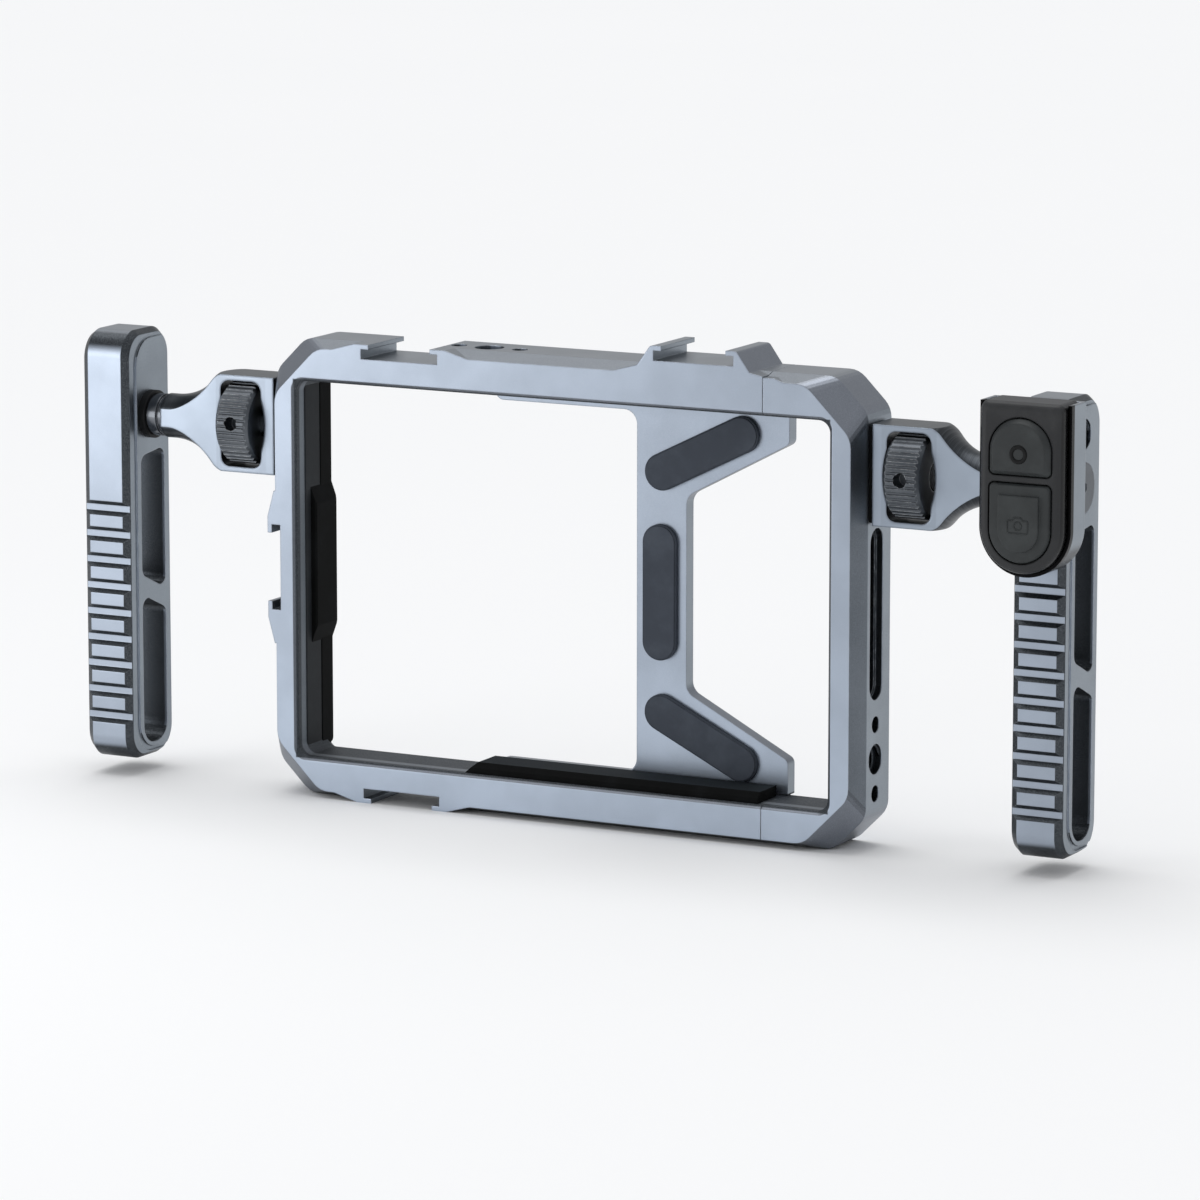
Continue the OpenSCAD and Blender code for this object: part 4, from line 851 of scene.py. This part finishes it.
def thread_ridge(name, mouth, outward, radius, length):
    """A helical ridge on a bore's wall, a little short of the mouth and of the bottom."""
    turn = upright(outward)
    turns = (length - 2 * THREAD_MARGIN) / THREAD_PITCH - 1
    root = radius + THREAD_BITE
    rings = []
    for i in range(int(turns * THREAD_STEPS) + 1):
        done = i / THREAD_STEPS
        angle = 2 * math.pi * done
        fade = min(1, RUN_OUTS_A_TURN * done, RUN_OUTS_A_TURN * (turns - done))
        crest = radius - THREAD_DEPTH * max(fade, LEAST_SHARE)
        down = -THREAD_MARGIN - THREAD_PITCH / 2 - THREAD_PITCH * done
        ring = []
        for r, rise in ((root, -ROOT_SHARE), (crest, -CREST_SHARE), (crest, CREST_SHARE), (root, ROOT_SHARE)):
            spot = Vector((r * math.cos(angle), r * math.sin(angle), down + rise * THREAD_PITCH))
            ring.append(Vector(mouth) + turn @ spot * MM)
        rings.append(ring)
    return skin(name, rings)


print("thread: pitch", THREAD_PITCH, "mm, depth", THREAD_DEPTH, "mm")

# %% a thread in each hole
THREAD_BODIES = {
    "top": "cage",
    "left_side": "cage",
    "right_side": "sliding_end",
    "left_grip": "left_handle",
    "right_grip": "right_handle",
}

for mount in frame["record"]["mounts"]:
    if mount["kind"] == "threaded_hole":
        where = mount["name"].replace("_thread", "")
        dims = mount["dims"]
        ridge = thread_ridge(where, mount["pos_m"], mount["axis"], dims["r_mm"], dims["length_mm"])
        piece(where + "_thread_ridge", ridge, THREAD_BODIES[where], anodised)
        print("thread", where, len(ridge.polygons), "faces")

# %% [markdown]
# ## Screws with cross recesses
# The plate is held by six small screws and the cradle by two. A cross recess is a tapered
# cross sunk in a domed head, so a lathe profile makes the screw and a Boolean sinks the cross.
# The lathe turns a profile of radius and height round Z, as the real screw is turned from bar.

# %% lathe
LATHE_STEPS = 48
SAME_POINT = 1e-5


def lathe(name, profile):
    """A profile of (radius, height) pairs, first and last on the axis, turned round Z."""
    count = len(profile)
    points, faces = [], []
    for i in range(LATHE_STEPS):
        angle = 2 * math.pi * i / LATHE_STEPS
        points += [(r * math.cos(angle), r * math.sin(angle), z) for r, z in profile]
        here, there = i * count, (i + 1) % LATHE_STEPS * count
        faces += [(here + k, there + k, there + k + 1, here + k + 1) for k in range(count - 1)]
    mesh = bpy.data.meshes.new(name)
    mesh.from_pydata(points, [], faces)
    work = bmesh.new()
    work.from_mesh(mesh)
    bmesh.ops.remove_doubles(work, verts=work.verts, dist=SAME_POINT)
    bmesh.ops.dissolve_degenerate(work, edges=work.edges, dist=SAME_POINT)
    bmesh.ops.recalc_face_normals(work, faces=work.faces)
    work.to_mesh(mesh)
    work.free()
    return mesh


print("lathe:", LATHE_STEPS, "steps a turn")

# %% [markdown]
# ## The cross and the cut
# The driver's cross narrows with depth. Its outline is one arm of three points, turned three
# times, and it starts above the head so that the cut leaves no skin. The Boolean is applied at
# once and its helpers are removed, so that only the finished screw stays in the file.

# %% the cross and the cut
CROSS_STATIONS = ((0.5, 1.15), (0, 1.0), (-1, 0.62))


def cross_tool(reach, wide, depth):
    """A tapered cross that points down, its stations given as shares of its depth and its mouth."""
    rings = []
    for height_share, share in CROSS_STATIONS:
        r, h = reach * share, wide * share / 2
        arm = [(r, -h), (r, h), (h, h)]
        ring = []
        for _ in range(4):
            ring += [Vector((x, y, depth * height_share)) for x, y in arm]
            arm = [(-y, x) for x, y in arm]
        rings.append(ring)
    return skin("cross_tool", rings, smooth=False)


def cut_away(target, tool):
    """The first mesh less the second, in the first one's place."""
    block = link(bpy.data.objects.new("block", target))
    cutter = link(bpy.data.objects.new("cutter", tool))
    cutting = block.modifiers.new("cut", "BOOLEAN")
    cutting.operation = "DIFFERENCE"
    cutting.solver = "EXACT"
    cutting.object = cutter
    seen = block.evaluated_get(bpy.context.evaluated_depsgraph_get())
    result = bpy.data.meshes.new_from_object(seen)
    for helper in (block, cutter):
        bpy.data.objects.remove(helper)
    return result


print("cross: stations", CROSS_STATIONS)

# %% [markdown]
# ## One screw
# The head is a short drum with a shallow dome, over a plain shank with a blunt point.
# All its sizes follow the head's radius, so the same function makes the plate's small screws
# and the cradle's larger ones.

# %% one screw
DOME_SHARE, FLAT_SHARE, POINT_SHARE, SHANK_SHARE = 0.12, 0.55, 0.3, 0.52
CROSS_REACH_SHARE, CROSS_WIDTH_SHARE, CROSS_DEPTH_SHARE = 0.62, 0.34, 0.55
HEAD_SHARE, HEAD_LEAST = 0.4, 0.35
CROWN, RIM = 0.02, 0.03


def cross_screw(name, head_r, length):
    """A screw in millimetres, its head's crown at zero and its shank down -Z."""
    dome = DOME_SHARE * head_r
    head_t = HEAD_SHARE * head_r + HEAD_LEAST
    shank_r = SHANK_SHARE * head_r
    head = [(0, 0), (FLAT_SHARE * head_r, -CROWN), (head_r - dome, -2 * CROWN), (head_r - RIM, -dome)]
    head += [(head_r, -2 * dome), (head_r, -head_t)]
    shank = [(shank_r, -head_t), (shank_r, shank_r - length), (POINT_SHARE * shank_r, -length), (0, -length)]
    cross = cross_tool(CROSS_REACH_SHARE * head_r, CROSS_WIDTH_SHARE * head_r, CROSS_DEPTH_SHARE * head_t)
    return cut_away(lathe(name, head + shank), cross)


def set_screw(mesh, name, at, outward):
    """A copy of a screw mesh in metres, its head at a place and facing a direction."""
    copy = mesh.copy()
    copy.name = name
    copy.transform(Matrix.Translation(at) @ upright(outward).to_4x4() @ Matrix.Scale(MM, 4))
    return copy


print("a screw head is", HEAD_SHARE, "of its radius thick, and", HEAD_LEAST, "mm")

# %% [markdown]
# ## Screws where the CAD has them
# The CAD holds like screws in one node, as separate solids. Walking from vertex to vertex finds
# each solid and its box, and the box gives a screw's place, head and length. The new screws
# stand for the CAD node, which is hidden.

# %% where the screws are
def islands(node):
    """The lowest and highest corner of each separate solid of a CAD node, from the left."""
    work = bmesh.new()
    work.from_mesh(nodes[node].data)
    bmesh.ops.remove_doubles(work, verts=work.verts, dist=MM / 1000)
    left, found = set(work.verts), []
    while left:
        seed = [left.pop()]
        group = list(seed)
        while seed:
            for edge in seed.pop().link_edges:
                for v in edge.verts:
                    if v in left:
                        left.remove(v)
                        seed.append(v)
                        group.append(v)
        low = Vector([min(v.co[i] for v in group) for i in range(3)])
        high = Vector([max(v.co[i] for v in group) for i in range(3)])
        found.append((low, high))
    work.free()
    return sorted(found, key=lambda pair: tuple(pair[0]))


print("separate plate screws:", len(islands("back_plate_screws")))

# %% set the screws
def screws_for(node, body, outward_y):
    """Cross recess screws in place of a CAD node's plain ones, all alike."""
    places = islands(node)
    low, high = places[0]
    model = cross_screw(node, (high.x - low.x) / 2 / MM, (high.y - low.y) / MM)
    made = []
    for i, (low, high) in enumerate(places):
        middle = (low + high) / 2
        at = (middle.x, high.y if outward_y > 0 else low.y, middle.z)
        name = f"{node}_cross_{i + 1}"
        mesh = set_screw(model, name, at, (0, outward_y, 0))
        made.append(piece(name, mesh, body, blackened))
    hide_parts(node)
    return made


plate_screws = screws_for("back_plate_screws", "cage", 1)
cradle_screws = screws_for("cradle_screws", "right_handle", -1)
print("screws:", len(plate_screws), "in the plate and", len(cradle_screws), "in the cradle")

# %% [markdown]
# ## Linings of the end walls
# Thin rubber strips lie on the inside of both end walls: a grey strip in front and a thicker
# black one behind it. They are trim a quarter of a millimetre thick, with rounded ends and a
# bevelled rim, so each is one flat outline that rises through three rings.

# %% one lining
LINING_LOW, LINING_HIGH = 9.2, 89.4
LINING_CORNER, LINING_CORNER_STEPS = 1.2, 6
LINING_FOOT, LINING_BEVEL = 0.02, 0.12


def lining(name, inward, front, rear, thick, body, finish):
    """A strip on the end wall that looks inward along X, from y front to rear."""
    corners = ((rear, LINING_HIGH), (front, LINING_HIGH), (front, LINING_LOW), (rear, LINING_LOW))
    rings = []
    for rise, shrink in ((-LINING_FOOT, 0), (thick - LINING_BEVEL, 0), (thick, LINING_BEVEL)):
        x = -inward * OPENING_HALF + inward * rise
        reach = LINING_CORNER - shrink
        ring = []
        for turn, (y, z) in enumerate(corners):
            middle_y = y + (LINING_CORNER if y == front else -LINING_CORNER)
            middle_z = z + (LINING_CORNER if z == LINING_LOW else -LINING_CORNER)
            for k in range(LINING_CORNER_STEPS + 1):
                angle = math.pi / 2 * (turn + k / LINING_CORNER_STEPS)
                spot = (x, middle_y + reach * math.cos(angle), middle_z + reach * math.sin(angle))
                ring.append(Vector(spot) * MM)
        rings.append(ring)
    return piece(name, skin(name, rings, smooth=False), body, finish)


print("a lining is", LINING_HIGH - LINING_LOW, "mm high")

# %% linings
FRONT_LINING = {"front": -3.6, "rear": 2.5, "thick": 0.2, "finish": lining_rubber}
REAR_LINING = {"front": 2.6, "rear": 7.3, "thick": 0.3, "finish": black_rubber}

for side, inward, body in (("left", 1, "cage"), ("right", -1, "sliding_end")):
    lining(side + "_front_lining", inward, body=body, **FRONT_LINING)
    lining(side + "_rear_lining", inward, body=body, **REAR_LINING)
print("linings: two on each end wall")

# %% [markdown]
# ## Signs on the buttons
# Each button has a small raised sign. The upper one gets a plain ring and the lower one the
# usual outline of a camera. A raised line is a half round ridge, walked round a flat outline,
# and the outline's corners are eased by short arcs, as an engraving cutter would leave them.

# %% outlines
def circle(radius, steps):
    """A closed outline of points on a circle."""
    angles = [2 * math.pi * i / steps for i in range(steps)]
    return [Vector((radius * math.cos(a), radius * math.sin(a))) for a in angles]


def eased(points, radius, steps=5):
    """A closed outline of (x, z) corners, each rounded by an arc."""
    out = []
    for i, corner in enumerate(points):
        b = Vector(corner)
        u = (Vector(points[i - 1]) - b).normalized()
        v = (Vector(points[(i + 1) % len(points)]) - b).normalized()
        reach = radius / math.tan(u.angle(v) / 2)
        for k in range(steps + 1):
            t = k / steps
            straight = (b + u * reach) * (1 - t) + (b + v * reach) * t
            out.append(straight.lerp(b, t * (1 - t)))
    return out


print("outlines: a circle of", len(circle(1, 40)), "points")

# %% a raised line
RIDGE_ANGLES = (0, 45, 90, 135, 180)
RIDGE_FOOT = 0.03


def raised_line(name, outline, at, width, height):
    """A half round ridge round a closed outline in X and Z, standing out along -Y."""
    rings = []
    for i, here in enumerate(outline):
        along = (outline[(i + 1) % len(outline)] - outline[i - 1]).normalized()
        side = Vector((-along.y, along.x))
        ring = []
        for angle in RIDGE_ANGLES:
            out = math.sin(math.radians(angle)) * height - RIDGE_FOOT
            spot = here + side * (math.cos(math.radians(angle)) * width / 2)
            ring.append(Vector(at) + Vector((spot.x, -out, spot.y)) * MM)
        rings.append(ring)
    return skin(name, rings, closed=True)


print("a ridge has", len(RIDGE_ANGLES), "points across")

# %% the ring
RING_RADIUS, RING_STEPS = 1.5, 40
RING_LINE, RING_RISE = 0.9, 0.22
RING_BELOW_TOP = 7.6

low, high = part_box("upper_button")
ring_at = ((low.x + high.x) / 2, low.y, high.z - RING_BELOW_TOP * MM)
ring_mesh = raised_line("ring_sign", circle(RING_RADIUS, RING_STEPS), ring_at, RING_LINE, RING_RISE)
piece("upper_button_ring_sign", ring_mesh, "upper_key", bush_plastic)
print("ring at", [round(v, 4) for v in ring_at])

# %% the camera sign
SIGN_LINE, SIGN_RISE = 0.4, 0.14
SIGN_BELOW_MIDDLE = 0.3
SIGN_HALF, SIGN_FOOT, SIGN_SHOULDER = 2.2, -1.5, 1.1
HUMP_HALF, HUMP_TOP_HALF, HUMP_TOP = 1.1, 0.7, 1.7
SIGN_CORNER = 0.3
LENS_RADIUS, LENS_STEPS = 0.8, 28

right_half = [
    (SIGN_HALF, SIGN_FOOT), (SIGN_HALF, SIGN_SHOULDER), (HUMP_HALF, SIGN_SHOULDER), (HUMP_TOP_HALF, HUMP_TOP)
]
left_half = [(-x, z) for x, z in reversed(right_half)]
camera_outline = eased(left_half[-1:] + right_half + left_half[:-1], SIGN_CORNER)

low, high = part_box("lower_button")
sign_at = ((low.x + high.x) / 2, low.y, (low.z + high.z) / 2 - SIGN_BELOW_MIDDLE * MM)
for label, outline in (("camera_sign", camera_outline), ("lens_sign", circle(LENS_RADIUS, LENS_STEPS))):
    mesh = raised_line(label, outline, sign_at, SIGN_LINE, SIGN_RISE)
    piece("lower_button_" + label, mesh, "lower_key", button_rubber)
print("camera sign at", [round(v, 4) for v in sign_at])
